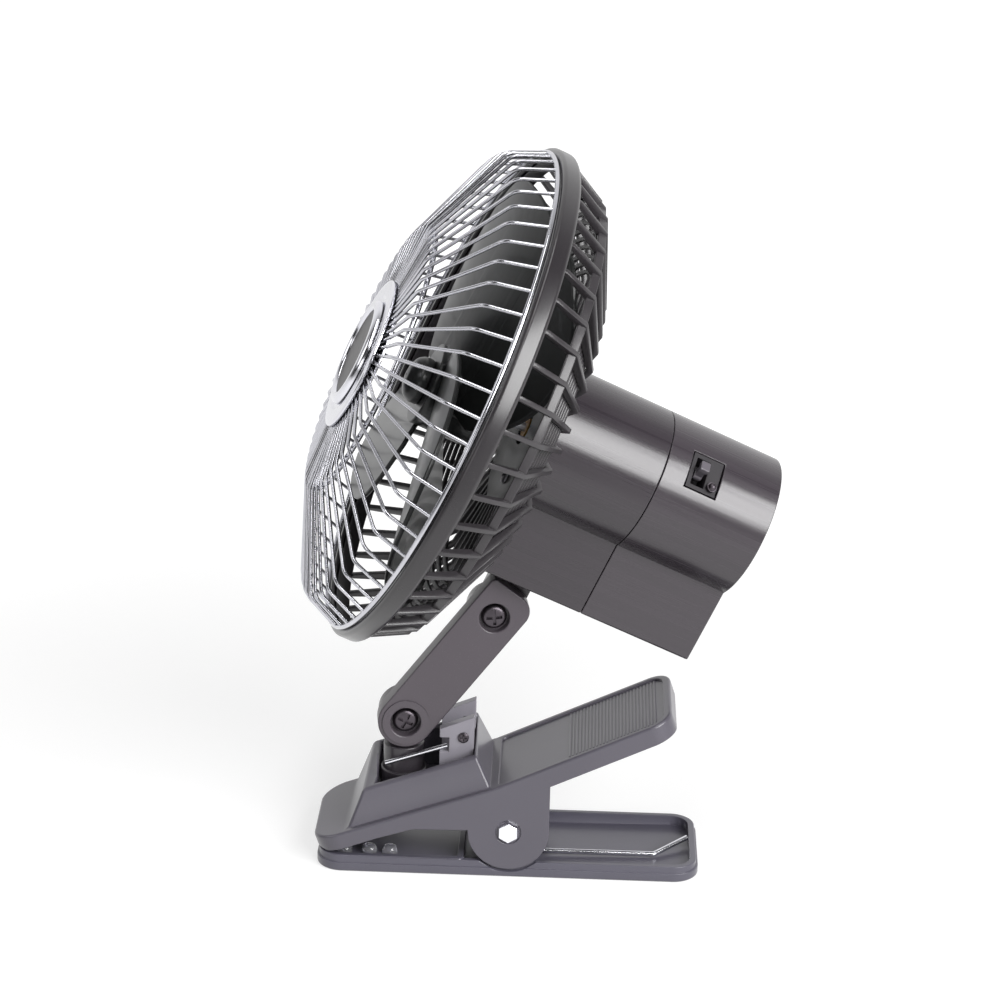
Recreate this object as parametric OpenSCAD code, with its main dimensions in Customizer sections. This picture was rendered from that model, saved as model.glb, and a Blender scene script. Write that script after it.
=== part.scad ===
// Portable camping fan: a caged fan head on a jointed arm, carried by a sprung clip.
// Frame: +Z up, the fan blows towards -Y, the clip's hinge runs along X.
// The origin is on the clip's flat base, straight below the clip's hinge.

/* [Pose] */
// Turn of the arm and head about the upright axis, degrees
swivel_turn = 7; // [0:1:15]
// Lean of the arm above level, degrees
arm_lean = 51.7; // [48:0.1:60]
// Upward tilt of the fan head, degrees
head_tilt = 25.3; // [20:0.1:30]

/* [Clip] */
// Width of both jaws
clip_w = 44; // [43:0.5:56]
// Reach of the lower jaw in front of the hinge
tray_front = 65.5; // [65:0.5:75]
// Reach of the lower jaw behind the hinge
tray_back = 65; // [60:0.5:75]
// Thickness of the lower jaw's floor
tray_floor = 2; // [1.5:0.1:3]
// Height of the lower jaw's rim
rim_h = 5.4; // [5:0.1:5.6]
// Height of the lower jaw's raised front deck
deck_h = 5.9; // [5.7:0.1:6.1]
// Height of the hinge above the base
hinge_h = 16.7; // [16.6:0.1:18]
// Radius of the upper jaw's round cheeks
cheek_r = 13.8; // [13:0.1:14]
// Thickness of the clip's side walls
clip_wall = 2.2; // [1.8:0.1:2.6]
// Slope of the upper jaw, degrees
jaw_slope = 19.6; // [19:0.1:19.8]
// Upward bend of the handle from the rest of the upper jaw, degrees
handle_rise = 5.5; // [4:0.1:7]
// Height of the upper jaw's top face above the hinge
jaw_top = 16.6; // [16.2:0.1:17]
// Thickness of the upper jaw's top plate
jaw_plate = 2.4; // [2:0.1:3]
// Reach of the upper jaw in front of the hinge
jaw_nose = 65; // [64:0.5:66]
// Reach of the handle behind the hinge
handle_reach = 65; // [60:0.5:70]
// Radius of the hinge bolt
hinge_bolt_r = 2.4; // [2:0.1:3]
// Width across the flats of the hinge bolt's head
hinge_head_af = 6.2; // [5.5:0.1:7]
// Wire thickness of the clip spring
spring_wire = 1.8; // [1.2:0.1:2.2]
// Inner radius of the clip spring's coils
spring_r = 5.2; // [4.6:0.1:6]

/* [Swivel base] */
// Distance of the upright swivel axis in front of the hinge
swivel_reach = 36.9; // [36:0.1:37.5]
// Height of the pocket's floor above the base
pocket_floor = 24.5; // [24:0.1:25.5]
// Height of the raised box above the upper jaw
box_h = 10.9; // [10:0.1:12]
// Radius of the swivel base's flange
flange_r = 8.1; // [7.6:0.1:8.2]
// Radius of the swivel base's barrel
barrel_r = 7; // [6.5:0.1:7.1]
// Height of the lower arm pivot above the base
pivot_h = 49.5; // [49.2:0.1:54]
// Thickness of the ears that the arm is bolted to
ear_t = 6.3; // [5:0.1:8]
// Radius of the ears
ear_r = 8.6; // [8:0.1:9]
// Radius of the tie wire
tie_r = 0.8; // [0.6:0.1:1]

/* [Arm] */
// Distance between the arm's two pivots
arm_len = 47.7; // [46:0.1:55]
// Width of the arm
arm_w = 18.8; // [18:0.1:19.4]
// Thickness of the arm
arm_t = 7; // [6:0.1:9]
// Radius of the pivot screws
pivot_screw_r = 2; // [1.6:0.1:2.4]
// Radius of the pivot screws' heads
pivot_head_r = 4.4; // [4:0.1:4.7]
// Depth of the recesses for the screw heads
recess_depth = 3; // [2.5:0.1:3.5]

/* [Housing] */
// Radius of the motor housing
housing_r = 25.2; // [24:0.1:28]
// Half width of the battery box below the motor
keel_half = 14.8; // [13.5:0.1:16]
// Depth of the battery box below the fan axis
keel_depth = 47; // [45:0.1:49]
// Wall of the housing
housing_wall = 1.8; // [1.5:0.1:2.2]
// Distance of the housing's front face behind the guard's middle
housing_start = 29.9; // [29:0.1:31]
// Length of the front shell
front_shell_len = 40.5; // [38:0.1:44]
// Length of the rear shell
rear_shell_len = 40.6; // [40:0.1:44]
// Distance of the upper arm pivot below the fan axis
head_pivot_drop = 62.9; // [62:0.1:65]
// Distance of the upper arm pivot behind the guard's middle
head_pivot_back = 47.1; // [46:0.1:50]

/* [Guard] */
// Outer radius of the guard rim
rim_r = 87.5; // [80:0.5:100]
// Radial thickness of the guard rim
rim_t = 1.7; // [1.4:0.1:2.4]
// Axial width of the guard rim
rim_w = 6.4; // [5:0.2:9]
// Number of grille wires
wire_count = 62; // [48:2:68]
// Radius of a grille wire
wire_r = 0.75; // [0.5:0.05:0.9]
// Radius at the grille's outer bend
bend_out_r = 79.5; // [78:0.5:82]
// Height of the grille's outer bend before the guard's middle
bend_out_h = 16.2; // [15:0.2:19]
// Radius at the grille's inner bend
bend_in_r = 46.5; // [42:0.5:52]
// Height of the grille's inner bend before the guard's middle
bend_in_h = 30.2; // [28:0.2:34]
// Radius of the badge
badge_r = 26; // [22:0.5:30]
// Number of ribs in the rear cage
rib_count = 48; // [36:4:48]
// Thickness of a cage rib
rib_t = 1.7; // [1.4:0.1:2.2]
// Radius of the cage's corner
corner_r = 78; // [76:0.5:80]
// Depth of the cage's corner behind the guard's middle
corner_depth = 16; // [14:0.2:18]
// Radius where the cage's sloped face ends
cage_inner_r = 54; // [50:0.5:58]

/* [Fan blade] */
// Number of blades
blade_count = 3; // [2:1:5]
// Radius of the blade tips
blade_r = 74; // [70:0.5:77]
// Pitch of the blades, degrees
blade_pitch = 17; // [10:1:18]
// Turn of the fan blade about its axis, degrees
blade_turn = 80; // [0:5:120]
// Radius of the blade's hub
hub_r = 14; // [12:0.5:18]

/* [Motor and battery] */
// Radius of the motor can
motor_r = 17.5; // [16:0.5:19]
// Length of the motor can
motor_len = 40; // [34:1:42]
// Radius of the motor shaft
shaft_r = 1.6; // [1.5:0.1:2]
// Radius of the battery cell
cell_r = 9.2; // [8:0.1:9.3]
// Length of the battery cell
cell_len = 65; // [60:0.5:65]

/* [Hidden] */
$fn = 64;

// Clearances shared by the fits
pin_gap = 0.06;
seat_gap = 0.3;
face_gap = 0.2;
thread_gap = 0.03;

// Screw head with a cross slot, standing on z = 0 with its shank below
module cross_screw(head_r, head_h, shank_r, shank_len) {
    slot_w = head_r * 0.24;
    slot_l = head_r * 1.2;
    slot_d = head_h * 0.5;
    difference() {
        union() {
            cylinder(r = head_r, h = head_h * 0.6);
            translate([0, 0, head_h * 0.6]) cylinder(r = head_r * 0.8, h = head_h * 0.4);
        }
        translate([-slot_w / 2, -slot_l / 2, head_h - slot_d]) cube([slot_w, slot_l, slot_d + 1]);
        translate([-slot_l / 2, -slot_w / 2, head_h - slot_d]) cube([slot_l, slot_w, slot_d + 1]);
    }
    translate([0, 0, -shank_len]) cylinder(r = shank_r, h = shank_len);
}

// Hexagonal prism with a round bore, standing on z = 0
module hex_nut(across_flats, height, bore_r) {
    difference() {
        cylinder(r = across_flats / sqrt(3), h = height, $fn = 6);
        translate([0, 0, -1]) cylinder(r = bore_r, h = height + 2);
    }
}

// Flat outline with its own radius at the front and back corners, from y0 to y1
module rounded_plan(w, y0, y1, r0, r1) {
    difference() {
        translate([-w / 2, y0]) square([w, y1 - y0]);
        for (sx = [-1, 1]) {
            difference() {
                translate([sx * w / 2 - r0, y0 - r0]) square([2 * r0, 2 * r0]);
                translate([sx * (w / 2 - r0), y0 + r0]) circle(r = r0);
            }
            difference() {
                translate([sx * w / 2 - r1, y1 - r1]) square([2 * r1, 2 * r1]);
                translate([sx * (w / 2 - r1), y1 - r1]) circle(r = r1);
            }
        }
    }
}

// Turns a flat outline drawn as (along, up) into a slab of thickness t centred on X
module across_x(t) {
    rotate([90, 0, 90]) translate([0, 0, -t / 2]) linear_extrude(t) children();
}

// ---------- places ----------

// The upper jaw's own frame: hinge at the origin, Y along the jaw, Z out of its top face
module on_jaw() {
    translate([0, 0, hinge_h]) rotate([jaw_slope, 0, 0]) children();
}

// The frame that turns with the swivel base: Z is the swivel axis
module on_swivel() {
    translate([0, -swivel_reach, 0]) rotate([0, 0, swivel_turn]) children();
}

// The arm's own frame: lower pivot at the origin, Y along the arm, X across it
module on_arm() {
    on_swivel() translate([0, 0, pivot_h]) rotate([arm_lean, 0, 0]) children();
}

// The head's own frame: Z is the fan axis pointing forwards, Y is up, origin in the rim's middle
module on_head() {
    on_arm() translate([0, arm_len, 0]) rotate([90 - head_tilt - arm_lean, 0, 0])
        translate([0, head_pivot_drop, head_pivot_back]) children();
}

// ---------- clip ----------

deck_back = 15;
notch_gap = 1;
deck_floor = 4;
tray_corner = 9;
ear_half = clip_w / 2 - clip_wall;

slab_h = 3.2;
wall_inset = 0.7;

// Flat outline of the tray between y0 and y1, set in from its edge, with square inner end corners
module tray_plan(inset, y0, y1, back_corner) {
    rounded_plan(clip_w - 2 * inset, y0, y1, tray_corner - inset, back_corner);
}

// Tray with a base slab, a wall set in above it, a raised front deck, two hinge ears and cheek scallops
module lower_jaw() {
    wall_in = wall_inset + clip_wall;
    color("#6f6e78")
    difference() {
        union() {
            linear_extrude(tray_floor) tray_plan(0, -tray_front, tray_back, tray_corner);
            linear_extrude(slab_h) difference() {
                tray_plan(0, -tray_front, tray_back, tray_corner);
                tray_plan(wall_in, -tray_front + wall_in, tray_back - wall_in, tray_corner - wall_in);
            }
            linear_extrude(rim_h) difference() {
                tray_plan(wall_inset, -tray_front + wall_inset, tray_back - wall_inset, tray_corner - wall_inset);
                tray_plan(wall_in, -tray_front + wall_in, tray_back - wall_in, tray_corner - wall_in);
            }
            linear_extrude(deck_h) difference() {
                tray_plan(wall_inset, -tray_front + wall_inset, -deck_back, 2);
                tray_plan(wall_in, -tray_front + wall_in, -deck_back - clip_wall, 1);
            }
            linear_extrude(deck_floor) tray_plan(wall_inset + 1, -tray_front + wall_inset + 1, -deck_back - 1, 1);
            for (sx = [-1, 1]) translate([sx * (ear_half - seat_gap - ear_wall / 2), 0, hinge_h]) hinge_ear();
        }
        for (sx = [-1, 1]) translate([sx * (ear_half + 5 - seat_gap), 0, hinge_h])
            rotate([0, 90, 0]) cylinder(r = cheek_r + notch_gap, h = 10, center = true);
        translate([0, 0, hinge_h]) rotate([0, 90, 0])
            cylinder(r = hinge_bolt_r + pin_gap, h = clip_w + 10, center = true);
    }
}

ear_wall = 2.6;
hinge_ear_r = 9;

// Round-topped ear that stands on the tray's floor and carries the hinge bolt
module hinge_ear() {
    rotate([0, 90, 0]) cylinder(r = hinge_ear_r, h = ear_wall, center = true);
    translate([-ear_wall / 2, -hinge_ear_r, -hinge_h + tray_floor / 2])
        cube([ear_wall, 2 * hinge_ear_r, hinge_h - tray_floor / 2]);
}

handle_edge = 6.6;
skirt = 4.4;

// Side outline of the upper jaw: nose on the left, cheek in the middle, raised handle on the right
module jaw_side() {
    past = handle_reach + 3;
    end_top = jaw_top + past * tan(handle_rise);
    polygon([
        [-jaw_nose, jaw_top], [0, jaw_top], [past, end_top], [past, end_top - handle_edge],
        [cheek_r + 5, jaw_top - 5], [cheek_r - 0.8, -4.6], [0, 0], [-cheek_r + 0.7, 4.8], [-cheek_r - 1.7, 5.6],
        [-31, jaw_top - 5.8], [-43, jaw_top - 5.4], [-jaw_nose + 4, jaw_top - 5.7], [-jaw_nose, jaw_top - skirt]
    ]);
    circle(r = cheek_r);
}

// Side outline of the hollow below the jaw's plate
module hollow_side() {
    under = jaw_top - jaw_plate;
    far = handle_reach + 10;
    polygon([[-far, -far], [far, -far], [far, under + far * tan(handle_rise)], [0, under], [-far, under]]);
}

nose_corner = 10;
handle_corner = 8;
box_base_front = -53;
box_base_back = -1;
box_top_front = -40.5;
box_top_back = -2.5;
box_base_half = clip_w / 2 - 3;
box_top_half = box_base_half - 2.5;
box_rise = 3;
pocket_half = box_top_half - 2.6;
pocket_back = 12.3;
pocket_step = 25;
step_floor = 31;
spigot_r = 3.5;
well_r = 7.6;
pocket_slab = 3;
head_sink = 0.8;

// Lever plate with side walls, cheeks, a ribbed handle and the raised box of the swivel
module upper_jaw() {
    color("#73717d")
    difference() {
        union() {
            on_jaw() jaw_shell();
            tie_post();
        }
        // pocket for the swivel base and, one step higher, for the tie bracket
        translate([-pocket_half, -swivel_reach - flange_r - seat_gap, pocket_floor])
            cube([2 * pocket_half, swivel_reach + flange_r + seat_gap - pocket_step, 30]);
        translate([-pocket_half, -pocket_step - 0.1, step_floor])
            cube([2 * pocket_half, pocket_step + 0.1 - pocket_back, 30]);
        // spigot hole, and the well for its washer and screw
        translate([0, -swivel_reach, 0]) cylinder(r = spigot_r + pin_gap, h = pocket_floor + 1);
        translate([0, -swivel_reach, 0]) cylinder(r = well_r, h = pocket_floor - pocket_slab);
        // hinge bolt hole and the round sinks for its head and nut
        translate([0, 0, hinge_h]) rotate([0, 90, 0])
            cylinder(r = hinge_bolt_r + pin_gap, h = clip_w + 10, center = true);
        for (sx = [-1, 1]) translate([sx * (clip_w / 2 + 5 - head_sink), 0, hinge_h])
            rotate([0, 90, 0]) cylinder(r = hinge_head_af / sqrt(3) + 0.7, h = 10, center = true);
    }
}

handle_recess = 0.8;
grip_start = 2;
grip_ribs = 26;
grip_pitch = 1.25;
grip_rib_w = 0.55;

// Hollow lever with the raised box on it, in the jaw's own frame
module jaw_shell() {
    box_top = jaw_top + box_h + box_rise;
    difference() {
        intersection() {
            across_x(clip_w) jaw_side();
            translate([0, 0, -cheek_r - 1]) linear_extrude(cheek_r + jaw_top + 15)
                rounded_plan(clip_w, -jaw_nose, handle_reach, nose_corner, handle_corner);
        }
        intersection() {
            across_x(clip_w) hollow_side();
            translate([0, 0, -cheek_r - 2]) linear_extrude(cheek_r + jaw_top + 15)
                rounded_plan(clip_w - 2 * clip_wall, -jaw_nose + clip_wall, handle_reach - clip_wall,
                    nose_corner - clip_wall, handle_corner - clip_wall);
        }
        on_handle() translate([0, 0, -handle_recess]) linear_extrude(handle_recess + 1)
            rounded_plan(clip_w - 5, grip_start, handle_reach - 2.5, 2, handle_corner - 2.5);
    }
    on_handle() for (i = [0 : grip_ribs - 1])
        translate([-clip_w / 2 + 4, handle_reach - 6 - i * grip_pitch, -handle_recess - 0.2])
            cube([clip_w - 8, grip_rib_w, 0.6]);
    intersection() {
        across_x(clip_w) polygon([
            [box_base_front, jaw_top - 1], [box_base_back, jaw_top - 1], [box_top_back, box_top], [box_top_front, box_top]
        ]);
        translate([0, handle_reach, 0]) rotate([90, 0, 0]) linear_extrude(handle_reach + jaw_nose) polygon([
            [-box_base_half, jaw_top - 1], [box_base_half, jaw_top - 1],
            [box_top_half, jaw_top + box_h], [-box_top_half, box_top]
        ]);
    }
    // solid block under the box, around the spigot's well
    translate([-12, box_base_front + 9, jaw_top - 8]) cube([24, 23, 8]);
}

// Frame on the handle's top face, at the bend
module on_handle() {
    translate([0, 0, jaw_top]) rotate([handle_rise, 0, 0]) children();
}

tie_x = 8.1;
tie_rise = 19;
tie_front_h = 34.6;
post_w = 2.6;
post_t = 2.2;
post_top = 38.6;
tie_front = swivel_reach + 6.4;

// Small post in the pocket's corner that the tie wire's front end rests against
module tie_post() {
    translate([tie_x - 1.1, -tie_front - post_t, pocket_floor - 1]) cube([post_w, post_t, post_top - pocket_floor + 1]);
}

pad_low = 11.4;
pad_front = jaw_nose - clip_wall - 3;

// Rubber pad inside the upper jaw's nose
module jaw_pad() {
    color("#3a3a3d")
    on_jaw() translate([0, 0, pad_low])
        linear_extrude(jaw_top - jaw_plate - pad_low) rounded_plan(clip_w - 2 * clip_wall - 4,
            -pad_front, -46, 5, 1);
}

nub_r = 2.6;
nub_h = 2.9;
nub_rows = [-56, -47.5, -40.5];

// Soft clear nubs that stand in the lower jaw's front deck
module tray_nubs() {
    color("#c9c9cc")
    for (sx = [-1, 1]) for (y = nub_rows)
        translate([sx * (clip_w / 2 - 7.5), y, deck_floor]) {
            cylinder(r = nub_r, h = nub_h * 0.6);
            translate([0, 0, nub_h * 0.6]) cylinder(r = nub_r * 0.7, h = nub_h * 0.4);
        }
}

bolt_head_t = 1.8;

// Hinge bolt across the whole clip, with a hexagonal head on the near side
module hinge_bolt() {
    color("#d8d8de")
    translate([0, 0, hinge_h]) rotate([0, 90, 0]) {
        translate([0, 0, clip_w / 2 - head_sink]) cylinder(r = hinge_head_af / sqrt(3), h = bolt_head_t, $fn = 6);
        translate([0, 0, -clip_w / 2 - bolt_head_t + 0.4]) cylinder(r = hinge_bolt_r, h = clip_w + bolt_head_t - 1);
    }
}

// Nut on the far end of the hinge bolt
module hinge_nut() {
    color("#b5b5bb")
    translate([-clip_w / 2 + head_sink, 0, hinge_h]) rotate([0, -90, 0])
        hex_nut(hinge_head_af, bolt_head_t, hinge_bolt_r + thread_gap);
}

coil_turns = 7;
coil_steps = 14;
coil_mid_r = spring_r + spring_wire / 2;
coil_pitch = spring_wire + 0.25;
coil_start = 8;
leg_reach = 50;
leg_h = tray_floor + spring_wire / 2 + 0.3;
leg_sides = 8;

// Points of the spring, from the crank on the tray, through the coil, to the leg under the handle
leg_path = [[-3, leg_reach + 11.5, leg_h + 1.8], [coil_start - 1, leg_reach, leg_h],
    [coil_start, 12, leg_h + 0.4]];
coil_path = [for (i = [0 : coil_turns * coil_steps + 5]) let (a = -60 + i * 360 / coil_steps)
    [coil_start - coil_pitch * i / coil_steps, coil_mid_r * cos(a), hinge_h + coil_mid_r * sin(a)]];
coil_end_x = coil_start - coil_pitch * (coil_turns + 5 / coil_steps);
upper_path = [[coil_end_x - 0.5, 13, hinge_h + 13.5], [coil_end_x - 1, 26, hinge_h + 22]];
spring_path = concat(leg_path, coil_path, upper_path);

// Ring of a wire section, square to the path at point i
function wire_dir(p, i) = let (a = p[max(i - 1, 0)], b = p[min(i + 1, len(p) - 1)]) (b - a) / norm(b - a);
function wire_ring(p, i, r, n) = let (d = wire_dir(p, i), u = cross([1, 0.2, 0.1], d), v = u / norm(u), w = cross(d, v))
    [for (k = [0 : n - 1]) p[i] + r * (cos(360 * k / n) * v + sin(360 * k / n) * w)];

// Sweeps a round wire along the points of a path
module wire(p, r, n) {
    rings = [for (i = [0 : len(p) - 1]) each wire_ring(p, i, r, n)];
    last = (len(p) - 1) * n;
    sides = [for (i = [0 : len(p) - 2]) for (k = [0 : n - 1])
        [i * n + k, i * n + (k + 1) % n, (i + 1) * n + (k + 1) % n, (i + 1) * n + k]];
    polyhedron(points = rings, faces = concat(sides, [[for (k = [0 : n - 1]) n - 1 - k]],
        [[for (k = [0 : n - 1]) last + k]]), convexity = 6);
}

// Torsion spring: one long coil on the bolt, a leg on the tray and a leg under the handle
module clip_spring() {
    color("#d0d0d4")
    wire(spring_path, spring_wire / 2, leg_sides);
}

// ---------- swivel base ----------

flange_h = 5.8;
barrel_top = 39.6;
lug_gap = seat_gap;
neck_half = 5;

// Turret that turns in the pocket, with the ear that the arm is bolted to
module swivel_base() {
    color("#2b292c")
    on_swivel() difference() {
        union() {
            translate([0, 0, pocket_floor + face_gap]) cylinder(r = flange_r, h = flange_h);
            translate([0, 0, pocket_floor + face_gap]) cylinder(r = barrel_r, h = barrel_top - pocket_floor - face_gap);
            translate([0, 0, pocket_floor - pocket_slab - seat_gap])
                cylinder(r = spigot_r, h = pocket_slab + seat_gap + face_gap + 1);
            translate([-ear_t - lug_gap, -neck_half, barrel_top - 1]) cube([ear_t, 2 * neck_half, pivot_h - barrel_top + 1]);
            translate([-ear_t - lug_gap, 0, pivot_h]) rotate([0, 90, 0]) cylinder(r = ear_r, h = ear_t);
        }
        translate([-ear_t - lug_gap - 1, 0, pivot_h]) rotate([0, 90, 0])
            cylinder(r = pivot_screw_r + pin_gap, h = ear_t + 2);
        translate([0, 0, pocket_floor - pocket_slab - 1]) cylinder(r = base_screw_r + thread_gap, h = 12);
    }
}

base_screw_r = 1.5;
washer_t = 1.2;
washer_top = pocket_floor - pocket_slab - seat_gap;

// Washer that holds the swivel base down, under the pocket's floor
module swivel_washer() {
    color("#b8b8bd")
    translate([0, -swivel_reach, washer_top - washer_t]) difference() {
        cylinder(r = 6.2, h = washer_t);
        translate([0, 0, -1]) cylinder(r = base_screw_r + 0.1, h = washer_t + 2);
    }
}

// Screw driven up into the swivel base's spigot
module swivel_screw() {
    color("#a9a9af")
    on_swivel() translate([0, 0, washer_top - washer_t]) rotate([180, 0, 0]) cross_screw(3.2, 2.2, base_screw_r, 10);
}

bracket_in = 5.6;
bracket_t = 3.8;
bracket_front = 24.3;
bracket_back = 12.6;
bracket_top = 48.3;
bracket_rise = 4.8;
tie_screw_h = 45.6;
tie_screw_y = -16.2;
tie_screw_r = 1.2;
notch_depth = 3.2;
tie_end_h = tie_front_h + (tie_front - bracket_front) * tan(tie_rise);

// U bracket with two upright ears behind the swivel base, notched for the tie wire
module tie_bracket() {
    color("#77737b")
    difference() {
        union() {
            for (sx = [-1, 1]) translate([sx * (bracket_in + bracket_t / 2), 0, 0]) across_x(bracket_t) polygon([
                [-bracket_front, step_floor], [-bracket_back, step_floor],
                [-bracket_back, bracket_top + bracket_rise], [-bracket_front, bracket_top]
            ]);
            translate([-bracket_in - 1, -bracket_front, step_floor])
                cube([2 * bracket_in + 2, bracket_front - bracket_back, 2.2]);
        }
        translate([tie_x - 4, -bracket_front - 1, tie_end_h - tie_r - 0.3]) cube([8, notch_depth + 1, 5.2]);
        translate([0, tie_screw_y, tie_screw_h]) rotate([0, 90, 0])
            cylinder(r = tie_screw_r + thread_gap, h = 40, center = true);
    }
}

// Screw through both ears of the tie bracket
module tie_screw() {
    color("#45424a")
    translate([bracket_in + bracket_t, tie_screw_y, tie_screw_h]) rotate([0, 90, 0])
        cross_screw(1.9, 0.8, tie_screw_r, 2 * (bracket_in + bracket_t) + 0.6);
}

// Straight steel wire from the post to the bracket's notch, close past the swivel base
module tie_wire() {
    color("#dcdce2")
    translate([tie_x, -tie_front + 0.5, tie_front_h]) rotate([-90 + tie_rise, 0, 0])
        cylinder(r = tie_r, h = (tie_front - bracket_front + notch_depth - 1) / cos(tie_rise));
}

// ---------- arm ----------

arm_end = 11.3;
boss_r = 7.9;
boss_h = 0.6;
arm_round = 6;
recess_r = pivot_head_r + 0.7;

// Flat outline of the arm as (along, across), lower pivot at the origin
module arm_outline() {
    half = arm_w / 2;
    tip = arm_len + arm_end;
    circle(r = half);
    difference() {
        translate([0, -half]) square([tip, arm_w]);
        difference() {
            translate([tip - arm_round, -half - 1]) square([arm_round + 1, arm_round + 1]);
            translate([tip - arm_round, -half + arm_round]) circle(r = arm_round);
        }
        difference() {
            translate([tip - 2, half - 2]) square([3, 3]);
            translate([tip - 2, half - 2]) circle(r = 2);
        }
    }
}

// Stiff flat arm with a sunk screw head at each pivot
module arm() {
    color("#5f5a5e")
    on_arm() difference() {
        union() {
            translate([arm_t / 2, 0, 0]) across_x(arm_t) arm_outline();
            rotate([0, 90, 0]) cylinder(r = boss_r, h = arm_t + boss_h);
        }
        for (y = [0, arm_len]) translate([0, y, 0]) rotate([0, 90, 0]) {
            translate([0, 0, -1]) cylinder(r = pivot_screw_r + pin_gap, h = arm_t + 4);
            translate([0, 0, arm_t - recess_depth]) cylinder(r = recess_r, h = recess_depth + 4);
        }
    }
}

pivot_nut_af = 7;
pivot_nut_t = 2.8;
pivot_reach = ear_t + 2 * lug_gap + pivot_nut_t + 0.6;

// Screw through the arm and an ear, head in the arm's recess
module pivot_screw() {
    translate([arm_t - recess_depth, 0, 0]) rotate([0, 90, 0])
        cross_screw(pivot_head_r, 2.4, pivot_screw_r, arm_t - recess_depth + pivot_reach);
}

// Nut on the far side of an ear
module pivot_nut() {
    translate([-ear_t - 2 * lug_gap, 0, 0]) rotate([0, -90, 0]) hex_nut(pivot_nut_af, pivot_nut_t, pivot_screw_r + thread_gap);
}

module lower_pivot_screw() {
    color("#3c393d") on_arm() pivot_screw();
}

module lower_pivot_nut() {
    color("#b5b5bb") on_arm() pivot_nut();
}

module upper_pivot_screw() {
    color("#3c393d") on_arm() translate([0, arm_len, 0]) pivot_screw();
}

module upper_pivot_nut() {
    color("#b5b5bb") on_arm() translate([0, arm_len, 0]) pivot_nut();
}

// ---------- housing ----------

keel_corner = 2;
split_gap = 0.2;
shell_split = housing_start + front_shell_len;
housing_end = shell_split + split_gap + rear_shell_len;

// Section of the housing, shrunk by inset: a round motor tunnel over a square battery box
module housing_section(inset) {
    circle(r = housing_r - inset);
    difference() {
        translate([-keel_half + inset, -keel_depth + inset]) square([2 * (keel_half - inset), keel_depth - inset]);
        for (sx = [-1, 1]) difference() {
            translate([sx * (keel_half - inset) - keel_corner / 2, -keel_depth + inset - keel_corner / 2])
                square([keel_corner, keel_corner]);
            translate([sx * (keel_half - inset - keel_corner / 2), -keel_depth + inset + keel_corner / 2])
                circle(r = keel_corner / 2);
        }
    }
}

bush_seat_r = 5;
lug_front = 9.5;

// Front shell: bulkhead for the motor, open at the back, with the lug for the arm's upper pivot
module front_housing() {
    color("#575257")
    on_head() difference() {
        union() {
            translate([0, 0, -shell_split]) linear_extrude(front_shell_len) housing_section(0);
            translate([-ear_t - lug_gap, -head_pivot_drop, -head_pivot_back]) rotate([0, 90, 0])
                cylinder(r = ear_r, h = ear_t);
            translate([-ear_t - lug_gap, -head_pivot_drop, -head_pivot_back - ear_r])
                cube([ear_t, head_pivot_drop - keel_depth + 1, 2 * ear_r - 2.4]);
        }
        translate([0, 0, -shell_split - 1]) linear_extrude(front_shell_len + 1 - housing_wall)
            housing_section(housing_wall);
        translate([0, 0, -shell_split]) cylinder(r = bush_seat_r, h = front_shell_len + 1);
        for (a = [0 : 120 : 240]) rotate([0, 0, a]) translate([motor_screw_ring, 0, -housing_start - 5])
            cylinder(r = 1.3, h = 8);
        translate([-ear_t - lug_gap - 1, -head_pivot_drop, -head_pivot_back]) rotate([0, 90, 0])
            cylinder(r = pivot_screw_r + pin_gap, h = ear_t + 2);
    }
}

lip_t = 1.4;
socket_y = -12;
socket_r = 3.4;
rear_screw_y = 16;
rear_screw_x = 12;
motor_screw_ring = 11;

lip_len = 2.4;
lip_gap = 0.15;

// Ring that follows the housing's section, between two insets
module section_ring(outer, inner, h) {
    linear_extrude(h) difference() {
        housing_section(outer);
        housing_section(inner);
    }
}

// Rear shell: closed at the back, with a lip into the front shell, the switch window and the charging hole
module rear_housing() {
    top = -shell_split - split_gap;
    color("#575257")
    on_head() difference() {
        union() {
            difference() {
                translate([0, 0, -housing_end]) linear_extrude(rear_shell_len) housing_section(0);
                translate([0, 0, -housing_end + housing_wall]) linear_extrude(rear_shell_len)
                    housing_section(housing_wall);
            }
            translate([0, 0, top - 2]) section_ring(housing_wall - 0.1, housing_wall + lip_t, 2);
            translate([0, 0, top - 1]) section_ring(housing_wall + lip_gap, housing_wall + lip_t, 1 + lip_len);
        }
        translate([0, socket_y, -housing_end - 1]) cylinder(r = socket_r, h = housing_wall + 2);
        for (sx = [-1, 1]) translate([sx * rear_screw_x, rear_screw_y, -housing_end - 1]) cylinder(r = 1.3, h = 8);
        at_switch() translate([-switch_w / 2 - seat_gap, -switch_len / 2 - seat_gap, -switch_depth])
            cube([switch_w + 2 * seat_gap, switch_len + 2 * seat_gap, 20]);
    }
}

// Two screws that close the rear shell from behind
module rear_screws() {
    color("#77757a")
    on_head() for (sx = [-1, 1]) translate([sx * rear_screw_x, rear_screw_y, -housing_end]) rotate([180, 0, 0])
        cross_screw(2.4, 1.2, 1.27, 7);
}

// ---------- guard ----------

grille_seat = rim_w / 2;
ring_r = 1;

// Hoop that joins the rear cage and the front grille
module guard_rim() {
    color("#4a474b")
    on_head() rotate_extrude($fn = 128) polygon([
        [rim_r - rim_t, -rim_w / 2], [rim_r - 0.7, -rim_w / 2], [rim_r, -rim_w / 2 + 0.9], [rim_r, rim_w / 2 - 0.9],
        [rim_r - 0.7, rim_w / 2], [rim_r - rim_t - 2, rim_w / 2], [rim_r - rim_t - 2, rim_w / 2 - 1.2],
        [rim_r - rim_t, rim_w / 2 - 1.2]
    ]);
}

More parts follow.
